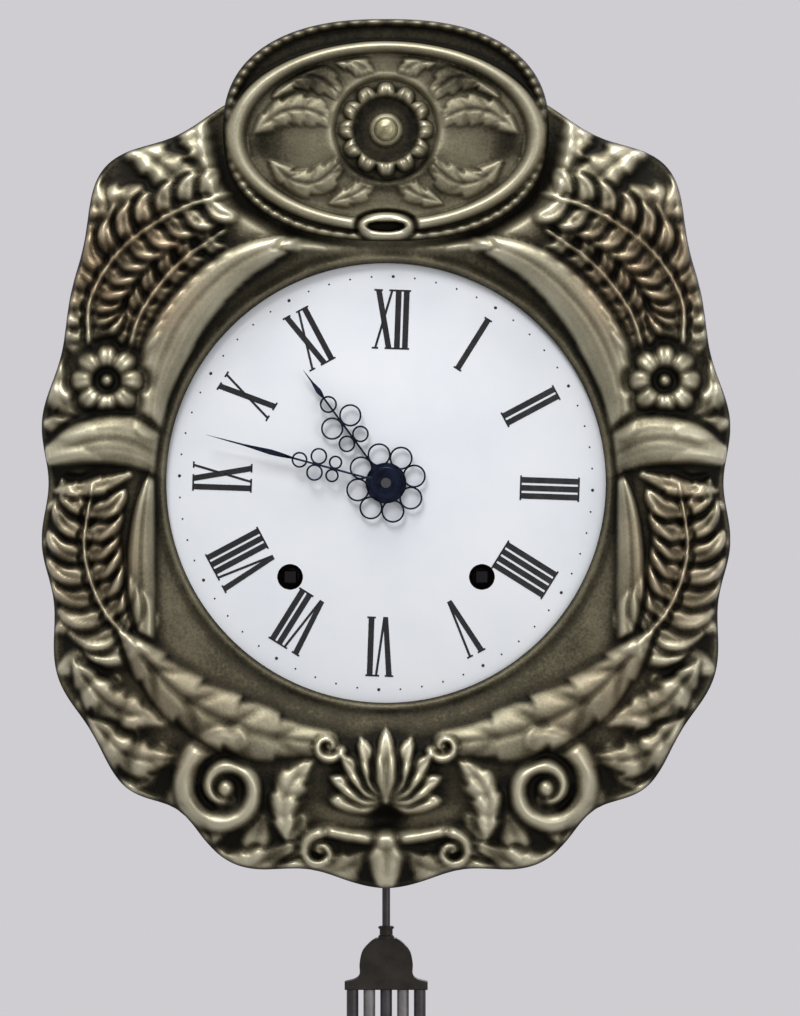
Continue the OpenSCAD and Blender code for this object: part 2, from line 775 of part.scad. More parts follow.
// Crest: an oval dish with a smooth rim, a leafy field and a rosette round a boss

crest_rings = [0.05, 0.16, 0.22, 0.28, 0.34, 0.42, 0.55, 0.7, 0.82, 0.88, 0.93, 0.98, 1];
crest_cols = 48;
crest_y = false_y0 - flat_h - crest_seat;

function crest_height(t) = t == 1 ? sheet_t : sheet_t + crest_rise
        * (0.18 + 0.7 * bell_curve(t - 0.92, 0.08) + 0.4 * bell_curve(t - 0.5, 0.2)
        + 0.45 * bell_curve(t - 0.28, 0.07));

function crest_point(t, j) =
    let (p = polar(1, j * 360 / crest_cols))
    let (q = [for (v = p) sign(v) * pow(abs(v), 2 / oval_power)])
    [crest_a * t * q[0], crest_y - crest_height(t), crest_z + crest_b * t * q[1]];

module crest_medallion() {
    front = [for (t = crest_rings) for (j = [0:crest_cols - 1]) crest_point(t, j)];
    color(brass_old) placed() polyhedron(
        points = concat(front, [for (p = front) p + [0, sheet_t, 0]]),
        faces = sheet_faces(len(crest_rings), crest_cols, [for (p = front) p[1]]));
}

// Studs and nuts of the surround, and the domed rivet in the middle of the crest
module surround_fixings() {
    // Each stud ends under the lowest part of the sheet before it
    stud_y0 = [for (s = [1, -1]) false_y0 + sheet_t + face_gap + facet_gap
        - min([for (a = [0:45:315]) relief_at([stud_place, s * stud_place] + polar(pad_r, a))])];
    boss_y = crest_y - crest_height(0.16) - face_gap;
    boss_steps = 6;
    nut_y = [false_y1, false_y1 + fix_nut_t];
    boss = [for (k = [0:boss_steps]) polar(boss_r, k * 90 / boss_steps)];
    color(brass) placed() {
        turned([0, crest_z], boss_y, concat([[0, 0]], boss));
        along_y([0, crest_z], [boss_y - eps, crest_y + crest_seat], screw_r);
        for (s = [0, 1]) both_sides() {
            at = [stud_place, (s == 0 ? 1 : -1) * stud_place];
            along_y(at, [stud_y0[s], nut_y[1] + stud_over], fix_stud_r);
            difference() {
                along_y(at, nut_y, 2 * fix_stud_r);
                along_y(at, through(nut_y), fix_stud_r + press_gap);
            }
        }
    }
}

// Dial and front

module dial_plate() {
    steps = 12;
    radii = [for (k = [0:steps]) dial_hole_r + (dial_r - dial_hole_r) * k / steps];
    back = [for (d = radii) [d, dome_rise(dial_r, dial_sag, d)]];
    front = [for (k = [steps:-1:0]) back[k] + [0, dial_t]];
    color(enamel) placed() difference() {
        turned(centre_at, false_y0, concat(back, front));
        for (at = [going_at, strike_at])
            along_y(at, [dial_y0 - eps, false_y0 + eps], key_hole_r);
    }
}

module dial_clips() {
    clip_w = 12;
    clip_t = 1;
    clip_over = 3;
    clip_gap = 0.4;
    clip_out = dial_r + 5;
    lip_y = [false_y0 - dial_t - clip_gap - clip_t, false_y0 - dial_t - clip_gap];
    color(iron) placed() for (a = [0:90:270]) rotate([0, a + 45, 0]) {
        block([dial_r + face_gap, clip_out], [lip_y[0], false_y0], [-clip_w / 2, clip_w / 2]);
        block([dial_r - clip_over, clip_out], lip_y, [-clip_w / 2, clip_w / 2]);
    }
}

module false_plate() {
    color(iron) placed() difference() {
        block([-false_half_w, false_half_w], [false_y0, false_y1], [-false_half_h, false_half_h]);
        along_y(centre_at, through([false_y0, false_y1]), dial_r - dial_seat);
        for (x = [-1, 1]) for (z = [-1, 1]) {
            along_y([x * post_x, z * pillar_z], through([false_y0, false_y1]), screw_r + press_gap);
            along_y([x * stud_place, z * stud_place], through([false_y0, false_y1]),
                fix_stud_r + press_gap);
        }
    }
}

module front_pillars() {
    color(iron) placed() for (x = [-post_x, post_x]) for (z = [-pillar_z, pillar_z]) difference() {
        along_y([x, z], [false_y1, post_front[0]], pillar_r);
        along_y([x, z], [false_y1 - eps, false_y1 + thread_l], screw_r + press_gap);
    }
}

// A screw along +Y whose head lies before y
module front_screw(at, y, l) {
    along_y(at, [y - head_t, y], head_r);
    along_y(at, [y - eps / 2, y + l], screw_r);
}

module frame_screws() {
    color(steel) placed() {
        for (x = [-post_x, post_x]) {
            for (z = [-pillar_z, pillar_z]) front_screw([x, z], false_y0, false_t + bite);
            for (z = back_screw_z) {
                along_y([x, z], [back_y1, back_y1 + head_t], head_r);
                along_y([x, z], [cage_y1 - post_s + post_floor + eps, back_y1 + eps / 2], screw_r);
            }
        }
        for (y = strap_screw_y) translate([0, y, top_z0 + shake]) {
            cylinder(r = screw_r, h = plate_t + strap_t);
            translate([0, 0, plate_t + strap_t - shake]) cylinder(r = head_r, h = head_t);
        }
    }
}

// Hands, drawn pointing up and then turned to the time shown

module ring_y(at, y, r, wall) {
    difference() {
        along_y(at, y, r);
        along_y(at, through(y), r - wall);
    }
}

module hand_tip(y, z0, z1, half) {
    flat_y(y) polygon([[0, z1], [half * 0.35, z0 + (z1 - z0) * 0.55], [half, z0 + (z1 - z0) * 0.25],
        [half * 0.4, z0], [-half * 0.4, z0], [-half, z0 + (z1 - z0) * 0.25],
        [-half * 0.35, z0 + (z1 - z0) * 0.55]]);
}

// A pierced hand that points up: a spine with rings beside it and over it, and a slender tip
module pierced_hand(y, length, hub_r, bore_r, rings, tip_start) {
    difference() {
        union() {
            along_y(centre_at, y, hub_r);
            block([-spine_half, spine_half], y, [hub_r - 2 * eps, length * (tip_start + 0.05)]);
            for (ring = rings) {
                if (ring[0] > 0) both_sides() ring_y([ring[0], length * ring[1]], y, ring[2], ring_wall);
                else ring_y([0, length * ring[1]], y, ring[2], ring_wall);
            }
            hand_tip(y, length * tip_start, length, tip_half);
        }
        along_y(centre_at, through(y), bore_r + press_gap);
    }
}

// A rosette of open loops round the hour hand's hub
module hub_rosette(y) {
    for (k = [0:hub_loops - 1]) rotate([0, (k + 0.5) * 360 / hub_loops, 0])
        ring_y([0, hub_loop_at], y, hub_loop_r, ring_wall);
}

module hour_hand() {
    turn = (shown_hour + shown_minute / 60) * 30;
    color(blued) placed() rotate([0, turn, 0]) union() {
        pierced_hand(hour_hand_y, hour_l, hour_hub_r, hour_pipe_r, hour_rings, hour_tip);
        hub_rosette(hour_hand_y);
    }
}

module minute_hand() {
    color(blued) placed() rotate([0, shown_minute * 6, 0])
        pierced_hand(minute_hand_y, minute_l, minute_hub_r, cannon_pipe_r, minute_rings, minute_tip);
}

module hand_nut() {
    color(blued) placed() difference() {
        union() {
            along_y(centre_at, [minute_hand_y[0] - washer_t, minute_hand_y[0]], washer_r);
            along_y(centre_at, [minute_hand_y[0] - nut_t, minute_hand_y[0] - washer_t / 2], cannon_pipe_r);
        }
        along_y(centre_at, [minute_hand_y[0] - nut_t - eps, minute_hand_y[0] + eps],
            centre_r + press_gap);
    }
}

// Cage

module hinge_ears(z) {
    both_sides() difference() {
        block([cage_w / 2 - eps, hinge_x + ear_w / 2], [hinge_y - ear_w / 2, hinge_y + ear_w / 2], z);
        translate([hinge_x, hinge_y, z[0] - eps])
            cylinder(r = hinge_pin_r + press_gap, h = z[1] - z[0] + 2 * eps);
    }
}

module top_plate() {
    color(iron) placed() difference() {
        union() {
            block([-cage_w / 2, cage_w / 2], [cage_y0, cage_y1], [top_z0, top_z1]);
            hinge_ears([top_z0, top_z1]);
        }
        translate([hammer_at[0], hammer_at[1], top_z0 - eps])
            cylinder(r = hammer_arbor_r + run_gap, h = plate_t + 2 * eps);
        translate([bell_at[0], bell_at[1], top_z0 - eps])
            cylinder(r = spigot_r + press_gap, h = plate_t + 2 * eps);
        for (y = strap_screw_y) translate([0, y, top_z0 - eps])
            cylinder(r = screw_r + press_gap, h = plate_t + 2 * eps);
    }
}

module bottom_plate() {
    color(iron) placed() difference() {
        union() {
            block([-cage_w / 2, cage_w / 2], [cage_y0, cage_y1], [bottom_z0, bottom_z1]);
            hinge_ears([bottom_z0, bottom_z1]);
        }
        translate([hammer_at[0], hammer_at[1], bottom_z0 - eps])
            cylinder(r = hammer_arbor_r - 1 + run_gap, h = plate_t + 2 * eps);
        // Slots that let the cords down from the drums
        for (at = [going_at, strike_at])
            block([at[0] + barrel_r - cord_room, at[0] + barrel_r + cord_room],
                [fbar_y1 + cord_slot_in, rbar_y0 - cord_slot_in], [bottom_z0 - eps, bottom_z1 + eps]);
    }
}

module corner_posts() {
    color(iron) placed() both_sides() {
        block([post_x0, post_x1], post_front, [bottom_z1, top_z0]);
        difference() {
            block([post_x0, post_x1], post_rear, [bottom_z1, top_z0]);
            for (z = back_screw_z)
                along_y([post_x, z], [cage_y1 - post_s + post_floor, cage_y1 + eps], screw_r + press_gap);
        }
    }
}

module bars(y) {
    difference() {
        for (x = [-train_x, 0, train_x])
            block([x - bar_w / 2, x + bar_w / 2], y, [bottom_z1, top_z0]);
        for (b = bearings) along_y(b[0], through(y), b[1] + bush_wall + press_gap);
        children();
    }
}

module front_bars() {
    color(iron) placed() bars([fbar_y0, fbar_y1])
        along_y(minute_at, through([fbar_y0, fbar_y1]), stud_r + press_gap);
}

module rear_bars() {
    color(iron) placed() bars([rbar_y0, rbar_y1]);
}

module pivot_bushes() {
    color(brass) placed() for (y = [[fbar_y0, fbar_y1], [rbar_y0, rbar_y1]]) for (b = bearings)
        difference() {
            along_y(b[0], y, b[1] + bush_wall);
            along_y(b[0], through(y), b[1] + run_gap);
        }
}

module back_plate() {
    color(iron) placed() difference() {
        block([-cage_w / 2, cage_w / 2], [cage_y1, back_y1], [bottom_z0, top_z1]);
        for (x = [-post_x, post_x]) for (z = back_screw_z)
            along_y([x, z], through([cage_y1, back_y1]), screw_r + press_gap);
    }
}

// Doors, drawn for the right side

module door_leaf() {
    difference() {
        union() {
            block([door_x0, door_x0 + door_t], [door_y0, door_y1],
                [bottom_z1 + door_gap, top_z0 - door_gap]);
            for (z = knuckle_z) {
                block([door_x0, hinge_x], [door_y1 - knuckle_leaf, hinge_y], [z, z + knuckle_h]);
                translate([hinge_x, hinge_y, z]) cylinder(r = knuckle_r, h = knuckle_h);
            }
        }
        for (z = knuckle_z) translate([hinge_x, hinge_y, z - eps])
            cylinder(r = hinge_pin_r + run_gap, h = knuckle_h + 2 * eps);
        translate([door_x0 - eps, knob_y, 0]) rotate([0, 90, 0])
            cylinder(r = screw_r + press_gap, h = door_t + 2 * eps);
    }
}

module door_knob() {
    neck = 3;
    face = door_x0 + door_t;
    translate([face, knob_y, 0]) rotate([0, 90, 0]) {
        cylinder(r = knob_r * 0.7, h = neck);
        translate([0, 0, neck + knob_r * 0.6]) sphere(r = knob_r);
        translate([0, 0, -door_t]) cylinder(r = screw_r, h = door_t + eps);
    }
}

module right_door() {
    color(iron) placed() door_leaf();
}

module left_door() {
    color(iron) placed() mirror([1, 0, 0]) door_leaf();
}

module right_door_knob() {
    color(brass) placed() door_knob();
}

module left_door_knob() {
    color(brass) placed() mirror([1, 0, 0]) door_knob();
}

module door_hinge_pins() {
    color(steel) placed() both_sides() translate([hinge_x, hinge_y, bottom_z0]) {
        cylinder(r = hinge_pin_r, h = top_z1 - bottom_z0);
        translate([0, 0, top_z1 - bottom_z0]) cylinder(r = knuckle_r, h = 1.5);
    }
}

// Wall fixing

module hanger_strap() {
    color(iron) placed() difference() {
        union() {
            block([-strap_w / 2, strap_w / 2], [-strap_tab, 0], [top_z1, top_z1 + strap_t]);
            block([-strap_w / 2, strap_w / 2], [-strap_t, 0], [top_z1, hang_h]);
            along_y([0, hang_h], [-strap_t, 0], strap_w / 2);
        }
        along_y([0, hang_h], [-strap_t - eps, eps], nail_hole_r);
        for (y = strap_screw_y) translate([0, y, top_z1 - eps])
            cylinder(r = screw_r + press_gap, h = strap_t + 2 * eps);
    }
}

module wall_feet() {
    pad_t = 2;
    color(iron) placed() both_sides() {
        along_y(foot_at, [back_y1, -pad_t], foot_r);
        along_y(foot_at, [-pad_t, 0], foot_r + 3);
    }
}

// Bell work

bell_z0 = top_z1 + bell_lift;
bell_steps = 8;
spigot_r = stand_r - 1;
bell_nut_h = 5;

// Outline of the bell from the mouth to the crown, as radius and height
function bell_curve_points(r, h) =
    concat([[r, 0], [r * 0.96, h * 0.1]],
        [for (k = [0:bell_steps]) let (a = k * 90 / bell_steps)
            [r * (0.22 + 0.7 * pow(cos(a), 0.8)), h * (0.22 + 0.78 * sin(a))]]);

module bell() {
    outer = bell_curve_points(bell_r, bell_h);
    inner = bell_curve_points(bell_r - bell_wall, bell_h - bell_wall);
    back = [for (k = [len(inner) - 1:-1:0]) inner[k]];
    bore = spigot_r + press_gap;
    color(brass) placed() translate([bell_at[0], bell_at[1], bell_z0]) rotate_extrude()
        polygon(concat(outer, [[bore, bell_h], [bore, bell_h - bell_wall]], back));
}

module bell_stand() {
    seat_z = bell_z0 + bell_h - bell_wall;
    foot_h = 3;
    seat_h = 2;
    color(steel) placed() translate([bell_at[0], bell_at[1], 0]) {
        translate([0, 0, top_z0]) cylinder(r = spigot_r, h = bell_z0 + bell_h + bell_nut_h + 2 - top_z0);
        translate([0, 0, top_z1]) cylinder(r = stand_r, h = seat_z - top_z1);
        translate([0, 0, top_z1]) cylinder(r = stand_r + 4, h = foot_h);
        translate([0, 0, seat_z - seat_h]) cylinder(r = stand_r + 3, h = seat_h);
    }
}

module bell_nut() {
    nut_z = bell_z0 + bell_h;
    color(brass) placed() translate([bell_at[0], bell_at[1], nut_z]) difference() {
        union() {
            cylinder(r = stand_r + 5, h = 1.5);
            cylinder(r = stand_r + 2.5, h = bell_nut_h);
        }
        translate([0, 0, -eps]) cylinder(r = spigot_r + press_gap, h = bell_nut_h + 2 * eps);
    }
}

module hammer_head() {
    arm = hammer_head_at - hammer_at;
    arm_s = 4;
    hub_h = 8;
    color(steel) placed() {
        difference() {
            union() {
                translate([hammer_at[0], hammer_at[1], hammer_z - hub_h / 2])
                    cylinder(r = hammer_arbor_r + 3, h = hub_h);
                translate([hammer_at[0], hammer_at[1], hammer_z]) rotate([0, 0, atan2(arm[1], arm[0])])
                    translate([0, -arm_s / 2, -arm_s / 2]) cube([norm(arm), arm_s, arm_s]);
                translate([hammer_head_at[0], hammer_head_at[1], hammer_z - hammer_r])
                    cylinder(r = hammer_r, h = 2 * hammer_r);
            }
            translate([hammer_at[0], hammer_at[1], hammer_z - hub_h])
                cylinder(r = hammer_arbor_r + press_gap, h = 2 * hub_h);
        }
    }
}

module hammer_arbor() {
    tail_t = 3;
    tail_w = 4;
    tail_y = pin_wheel_y[0] - strike_pin_l;
    tail_x0 = hammer_at[0] - tail_w / 2;
    color(steel) placed() {
        translate([hammer_at[0], hammer_at[1], bottom_z0])
            cylinder(r = hammer_arbor_r - 1, h = plate_t + 2 * eps);
        translate([hammer_at[0], hammer_at[1], bottom_z1 + face_gap])
            cylinder(r = hammer_arbor_r, h = hammer_z + 4 - bottom_z1 - face_gap);
        translate([hammer_at[0], hammer_at[1], tail_z - 2 * eps])
            cylinder(r = hammer_arbor_r + 2, h = tail_t + 4 * eps);
        block([tail_x0, tail_x0 + tail_w], [tail_y, hammer_at[1]], [tail_z, tail_z + tail_t]);
        block([tail_x0, tail_x], [tail_y, tail_y + tail_w], [tail_z, tail_z + tail_t]);
    }
}

// Drums, great wheels and clicks: side is 1 where the drum lies behind its wheel, -1 before it

function slab(y, side, d0, d1) =
    side > 0 ? [y[1] + d0, y[1] + d1] : [y[0] - d1, y[0] - d0];

function click_post(at, a) = at + polar(click_orbit, a);

module great_wheel(at, y, side, mod, leaves, facing, click_a) {
    post = click_post(at, click_a);
    difference() {
        union() {
            gear(at, y, wheel_points(great_n, mod, leaves), facing);
            along_y(post, slab(y, side, -eps, ratchet_t + 0.2), click_pivot_r);
            along_y(post, slab(y, side, ratchet_t + 0.1, ratchet_t + 1), click_pivot_r + 1);
        }
        along_y(at, through(y), drum_arbor_r + run_gap);
        children();
    }
}

module drum(at, y, side) {
    end = side > 0 ? rbar_y0 - going_drum_in : fbar_y1 + strike_drum_in;
    ratchet_y = slab(y, side, face_gap, face_gap + ratchet_t);
    flange_y = slab(y, side, face_gap + ratchet_t, face_gap + ratchet_t + flange_t);
    barrel_y = side > 0 ? [flange_y[0], end] : [end, flange_y[1]];
    far_y = side > 0 ? [end - flange_t, end] : [end, end + flange_t];
    collar_y = slab(y, -side, face_gap, face_gap + collar_t);
    gear(at, ratchet_y, saw_points(ratchet_n, ratchet_r, ratchet_depth), 0);
    along_y(at, flange_y, flange_r);
    along_y(at, barrel_y, barrel_r);
    along_y(at, far_y, flange_r);
    along_y(at, collar_y, collar_r);
    arbor(at, drum_arbor_r, drum_pivot_r);
    block([at[0] - winding_square / 2, at[0] + winding_square / 2],
        [false_y0 - square_over, fbar_y0 + eps], [at[1] - winding_square / 2, at[1] + winding_square / 2]);
}

module click(at, y, side, a) {
    layer = slab(y, side, face_gap, ratchet_t);
    post = click_post(at, a);
    nose = at + polar(ratchet_r + click_gap, a + 35);
    back = at + polar(ratchet_r + click_gap + 5, a + 33);
    hub = click_hub_r;
    difference() {
        union() {
            along_y(post, layer, hub);
            flat_y(layer) polygon([post + polar(hub, a + 180), nose, back, post + polar(hub, a + 60)]);
        }
        along_y(post, through(layer), click_pivot_r + run_gap);
    }
}

module click_spring(at, y, side, a) {
    layer = slab(y, side, 0, ratchet_t);
    foot = at + polar(35, a + 50);
    post = click_post(at, a);
    tip = post + polar(click_hub_r + spring_gap, a + 62);
    along = heading(foot, tip);
    half_t = 0.4;
    along_y(foot, layer, 2.2);
    flat_y(layer) polygon([foot + polar(half_t, along + 90), tip + polar(half_t, along + 90),
        tip + polar(half_t, along - 90), foot + polar(half_t, along - 90)]);
}

going_click_a = 60;
strike_click_a = 240;

module going_great_wheel() {
    color(brass) placed()
        great_wheel(going_at, going_great_y, 1, going_m, centre_leaves,
            heading(going_at, centre_at), going_click_a)
            crossings(going_at, going_great_y, going_m * great_n / 2 - great_rim, great_web_r, 6,
                great_spoke);
}

module going_drum() {
    color(brass) placed() drum(going_at, going_great_y, 1);
}

module going_click() {
    color(steel) placed() click(going_at, going_great_y, 1, going_click_a);
}

module going_click_spring() {
    color(steel) placed() click_spring(going_at, going_great_y, 1, going_click_a);
}

module strike_great_wheel() {
    color(brass) placed()
        great_wheel(strike_at, strike_great_y, -1, strike_m, train_leaves,
            heading(strike_at, pin_wheel_at), strike_click_a);
}

module strike_drum() {
    color(brass) placed() drum(strike_at, strike_great_y, -1);
}

module strike_click() {
    color(steel) placed() click(strike_at, strike_great_y, -1, strike_click_a);
}

module strike_click_spring() {
    color(steel) placed() click_spring(strike_at, strike_great_y, -1, strike_click_a);
}

// Train arbors

// A crossed wheel that meets a pinion at the given heading
module train_wheel(at, y, n, mod, leaves, facing, spokes) {
    difference() {
        gear(at, y, wheel_points(n, mod, leaves), facing);
        crossings(at, y, mod * n / 2 - 5, 7, spokes, 4);
    }
}

module centre_arbor() {
    color(brass) placed() {
        arbor(centre_at, centre_r, centre_r);
        along_y(centre_at, [minute_hand_y[0] - nut_t - 1, fbar_y1 + eps], centre_r);
        pinion(centre_at, widened(going_great_y, leaf_over), centre_leaves, going_m,
            heading(centre_at, going_at));
        train_wheel(centre_at, centre_wheel_y, centre_n, centre_m, train_leaves,
            heading(centre_at, third_at), 4);
    }
}

module third_arbor() {
    color(brass) placed() {
        arbor(third_at, arbor_r, pivot_r);
        pinion(third_at, widened(centre_wheel_y, leaf_over), train_leaves, centre_m,
            heading(third_at, centre_at));
        train_wheel(third_at, third_wheel_y, third_n, third_m, train_leaves,
            heading(third_at, escape_at), 4);
    }
}

module escape_arbor() {
    spur = toothed(escape_n, [[escape_r - 4, -3], [escape_r, -0.6], [escape_r, 0.6], [escape_r - 4, 2]]);
    color(brass) placed() {
        arbor(escape_at, arbor_r, pivot_r);
        pinion(escape_at, widened(third_wheel_y, leaf_over), train_leaves, third_m,
            heading(escape_at, third_at));
        difference() {
            gear(escape_at, escape_wheel_y, spur, 0);
            crossings(escape_at, escape_wheel_y, escape_r - 7, 5, 4, 3);
        }
    }
}

module pallet_arbor() {
    arm_l = 19;
    arm_w = 5;
    color(steel) placed() {
        arbor(pallet_at, arbor_r, pivot_r);
        along_y(pallet_at, [crutch_y0, fbar_y0 + eps], pivot_r);
        along_y(pallet_at, anchor_y, 5);
        both_sides() flat_y(anchor_y) translate(pallet_at) rotate(-45)
            translate([0, pallet_off]) square([arm_l, arm_w]);
    }
}

module crutch() {
    hub = 4;
    half_w = 2.5;
    prong_r = 1;
    prong_x = leader_r + face_gap + prong_r;
    layer = [crutch_y0, crutch_y1];
    color(steel) placed() {
        difference() {
            union() {
                along_y(pallet_at, layer, hub);
                block([-half_w, half_w], layer, [crutch_fork_z, pallet_at[1]]);
                block([-prong_x - 2, prong_x + 2], layer, [crutch_fork_z - 3, crutch_fork_z + 3]);
            }
            along_y(pallet_at, through(layer), pivot_r + press_gap);
        }
        for (x = [-prong_x, prong_x])
            along_y([x, crutch_fork_z], [pend_y - leader_half - 1, crutch_y0 + eps], prong_r);
    }
}

// Motion work

module cannon_pinion() {
    layer = [work_y - cannon_t, work_y];
    color(brass) placed() difference() {
        union() {
            pinion(centre_at, layer, cannon_leaves, cannon_m, heading(centre_at, minute_at));
            along_y(centre_at, [minute_hand_y[0], work_y - 1], cannon_pipe_r);
        }
        along_y(centre_at, [minute_hand_y[0] - eps, work_y + eps], centre_r + press_gap);
    }
}

module minute_wheel() {
    color(brass) placed() difference() {
        union() {
            gear(minute_at, minute_wheel_y, wheel_points(minute_n, cannon_m, cannon_leaves),
                heading(minute_at, centre_at));
            pinion(minute_at, minute_pinion_y, minute_leaves, hour_m, heading(minute_at, centre_at));
        }
        along_y(minute_at, [minute_pinion_y[0] - eps, minute_wheel_y[1] + eps], stud_r + run_gap);
    }
}

module minute_wheel_stud() {
    color(steel) placed() {
        along_y(minute_at, [minute_pinion_y[0] - 1, fbar_y1], stud_r);
        along_y(minute_at, [minute_wheel_y[1] + face_gap, fbar_y0], stud_r + stud_step);
    }
}

module hour_wheel() {
    snail = [for (k = [0:11]) for (s = [0:4]) polar(snail_r - k * snail_step, k * 30 + s * 7.4)];
    color(brass) placed() difference() {
        union() {
            gear(centre_at, hour_wheel_y, wheel_points(hour_n, hour_m, minute_leaves),
                heading(centre_at, minute_at));
            along_y(centre_at, [hour_hand_y[0], hour_wheel_y[1]], hour_pipe_r);
            flat_y(snail_y) polygon(snail);
        }
        along_y(centre_at, [hour_hand_y[0] - eps, hour_wheel_y[1] + eps], hour_pipe_bore);
    }
}

// Strike train

module pin_wheel() {
    pins = 8;
    color(brass) placed() {
        arbor(pin_wheel_at, arbor_r, pivot_r);
        pinion(pin_wheel_at, widened(strike_great_y, leaf_over), train_leaves, strike_m,
            heading(pin_wheel_at, strike_at));
        difference() {
            gear(pin_wheel_at, pin_wheel_y, wheel_points(pin_n, pin_m, train_leaves),
                heading(pin_wheel_at, warning_at));
            crossings(pin_wheel_at, pin_wheel_y, strike_pin_orbit - 4, 7, 4, 5);
        }
        for (k = [0:pins - 1])
            along_y(pin_wheel_at + polar(strike_pin_orbit, k * 360 / pins),
                [pin_wheel_y[0] - strike_pin_l, pin_wheel_y[0] + eps], strike_pin_r);
    }
}

module warning_wheel() {
    color(brass) placed() {
        arbor(warning_at, arbor_r, pivot_r);
        pinion(warning_at, widened(pin_wheel_y, leaf_over), train_leaves, pin_m,
            heading(warning_at, pin_wheel_at));
        train_wheel(warning_at, warning_wheel_y, warning_n, warning_m, train_leaves,
            heading(warning_at, fly_at), 4);
    }
}

module fly() {
    vane_t = 1;
    color(brass) placed() {
        arbor(fly_at, arbor_r, pivot_r);
        pinion(fly_at, widened(warning_wheel_y, leaf_over), train_leaves, warning_m,
            heading(fly_at, warning_at));
        along_y(fly_at, fly_vane_y, arbor_r + 1.5);
        block([fly_at[0] - fly_reach, fly_at[0] + fly_reach], fly_vane_y,
            [fly_at[1] - vane_t / 2, fly_at[1] + vane_t / 2]);
    }
}

module strike_rack() {
    teeth = 12;
    pitch = 4;
    depth = 3;
    color(steel) placed() {
        block(rack_x, rack_y, rack_z);
        for (k = [0:teeth - 1]) flat_y(rack_y) translate([rack_x[0], rack_teeth_z + k * pitch])
            polygon([[0, 0], [0, pitch], [-depth, pitch]]);
        block([rack_x[0], rack_x[0] + 5], [snail_y[0], rack_y[1]], rack_finger_z);
        block([rack_x[0], 3], snail_y, rack_finger_z);
    }
}

module rack_guides() {
    wall = 3;
    x = [rack_x[0] - slide_gap - wall, rack_x[1] + slide_gap + wall];
    y = [rack_y[0] - slide_gap - wall, fbar_y0];
    color(brass) placed() for (s = [-1, 1]) difference() {
        block(x, y, [s * guide_z - guide_h / 2, s * guide_z + guide_h / 2]);
        block([rack_x[0] - slide_gap, rack_x[1] + slide_gap],
            [rack_y[0] - slide_gap, rack_y[1] + slide_gap],
            [s * guide_z - guide_h, s * guide_z + guide_h]);
    }
}

// Pendulum

module suspension_cock() {
    block_z = [pivot_z + 6, pivot_z + 14];
    cheeks = [[front_cheek_y0, front_cheek_y1], [rear_cheek_y0, rear_cheek_y0 + cheek_t]];
    color(iron) placed() difference() {
        union() {
            block([-8, 8], [front_cheek_y0, fbar_y0], block_z);
            for (y = cheeks) block([-6, 6], y, [pivot_z - 5, block_z[0] + eps]);
        }
        for (y = cheeks) along_y(pallet_at, through(y), pin_r + press_gap);
    }
}

module suspension_pin() {
    color(steel) placed() {
        along_y(pallet_at, [front_cheek_y0, rear_cheek_y0 + cheek_t], pin_r);
        along_y(pallet_at, [front_cheek_y0 - 1, front_cheek_y0], pin_r + 1);
    }
}

module leader_loop(half, y) {
    along_y([0, loop_top_z], y, half);
    along_y([0, loop_bottom_z], y, half);
    block([-half, half], y, [loop_bottom_z, loop_top_z]);
}

module pendulum_leader() {
    layer = [pend_y - leader_half, pend_y + leader_half];
    eye_r = 5;
    loop_out = loop_half + loop_bar;
    color(steel) placed() difference() {
        union() {
            along_y(pallet_at, layer, eye_r);
            translate([0, pend_y, loop_top_z + loop_half + eps])
                cylinder(r = leader_r, h = pivot_z - loop_top_z - loop_half - 3 * eps);
            leader_loop(loop_out, layer);
            translate([0, pend_y, crown_z - leader_bite])
                cylinder(r = leader_r, h = loop_bottom_z - loop_half - eps - crown_z + leader_bite);
        }
        leader_loop(loop_half, through(layer));
        along_y(pallet_at, through(layer), pin_r + run_gap);
    }
}

module pendulum_crown() {
    layer = [pend_y - crown_t / 2, pend_y + crown_t / 2];
    neck_r = 4;
    neck_h = 6;
    shoulder = neck_r + 1;
    // half width as a share of the grid's, and drop as a share of the crown's height
    shares = [[shoulder / grid_half, 0], [0.38, 0.09], [0.57, 0.3], [0.64, 0.58], [0.64, 0.82],
        [0.74, 0.93], [1, 1]];
    side = [for (p = spline(shares, 4)) [grid_half * p[0], crown_z - crown_h * p[1]]];
    other = [for (k = [len(side) - 1:-1:0]) [-side[k][0], side[k][1]]];
    color(iron) placed() difference() {
        union() {
            flat_y(layer) polygon(concat(side, other));
            translate([0, pend_y, crown_z - eps]) cylinder(r = neck_r, h = neck_h + eps);
            for (z = [grid_z1, grid_z0 - crossbar_h])
                block([-grid_half, grid_half], layer, [z, z + crossbar_h + (z == grid_z1 ? eps : 0)]);
        }
        translate([0, pend_y, crown_z - leader_bite - press_gap])
            cylinder(r = leader_r + press_gap, h = leader_bite + neck_h + 2 * eps);
        translate([0, pend_y, grid_z0 - crossbar_h - eps])
            cylinder(r = tail_rod_r + press_gap, h = crossbar_h + 2 * eps);
    }
}

module grid_rods() {
    color(steel) placed() {
        for (k = [-2, -1, 1, 2]) translate([k * grid_step, pend_y, grid_z0])
            cylinder(r = grid_r, h = grid_z1 - grid_z0);
        translate([0, pend_y, tail_end_z]) cylinder(r = tail_rod_r, h = grid_z1 - tail_end_z);
    }
}

module pendulum_bob() {
    rim = 1.5;
    steps = 10;
    lens = [for (k = [1:steps]) bob_r * k / steps];
    color(brass) placed() difference() {
        turned([0, bob_z], pend_y, concat([[0, -bob_t / 2]],
            [for (d = lens) [d, -rim - dome_rise(bob_r, bob_t / 2 - rim, d)]],
            [for (k = [steps - 1:-1:0]) [lens[k], rim + dome_rise(bob_r, bob_t / 2 - rim, lens[k])]],
            [[0, bob_t / 2]]));
        translate([0, pend_y, bob_z - bob_r - eps])
            cylinder(r = tail_rod_r + press_gap, h = 2 * bob_r + 2 * eps);
    }
}

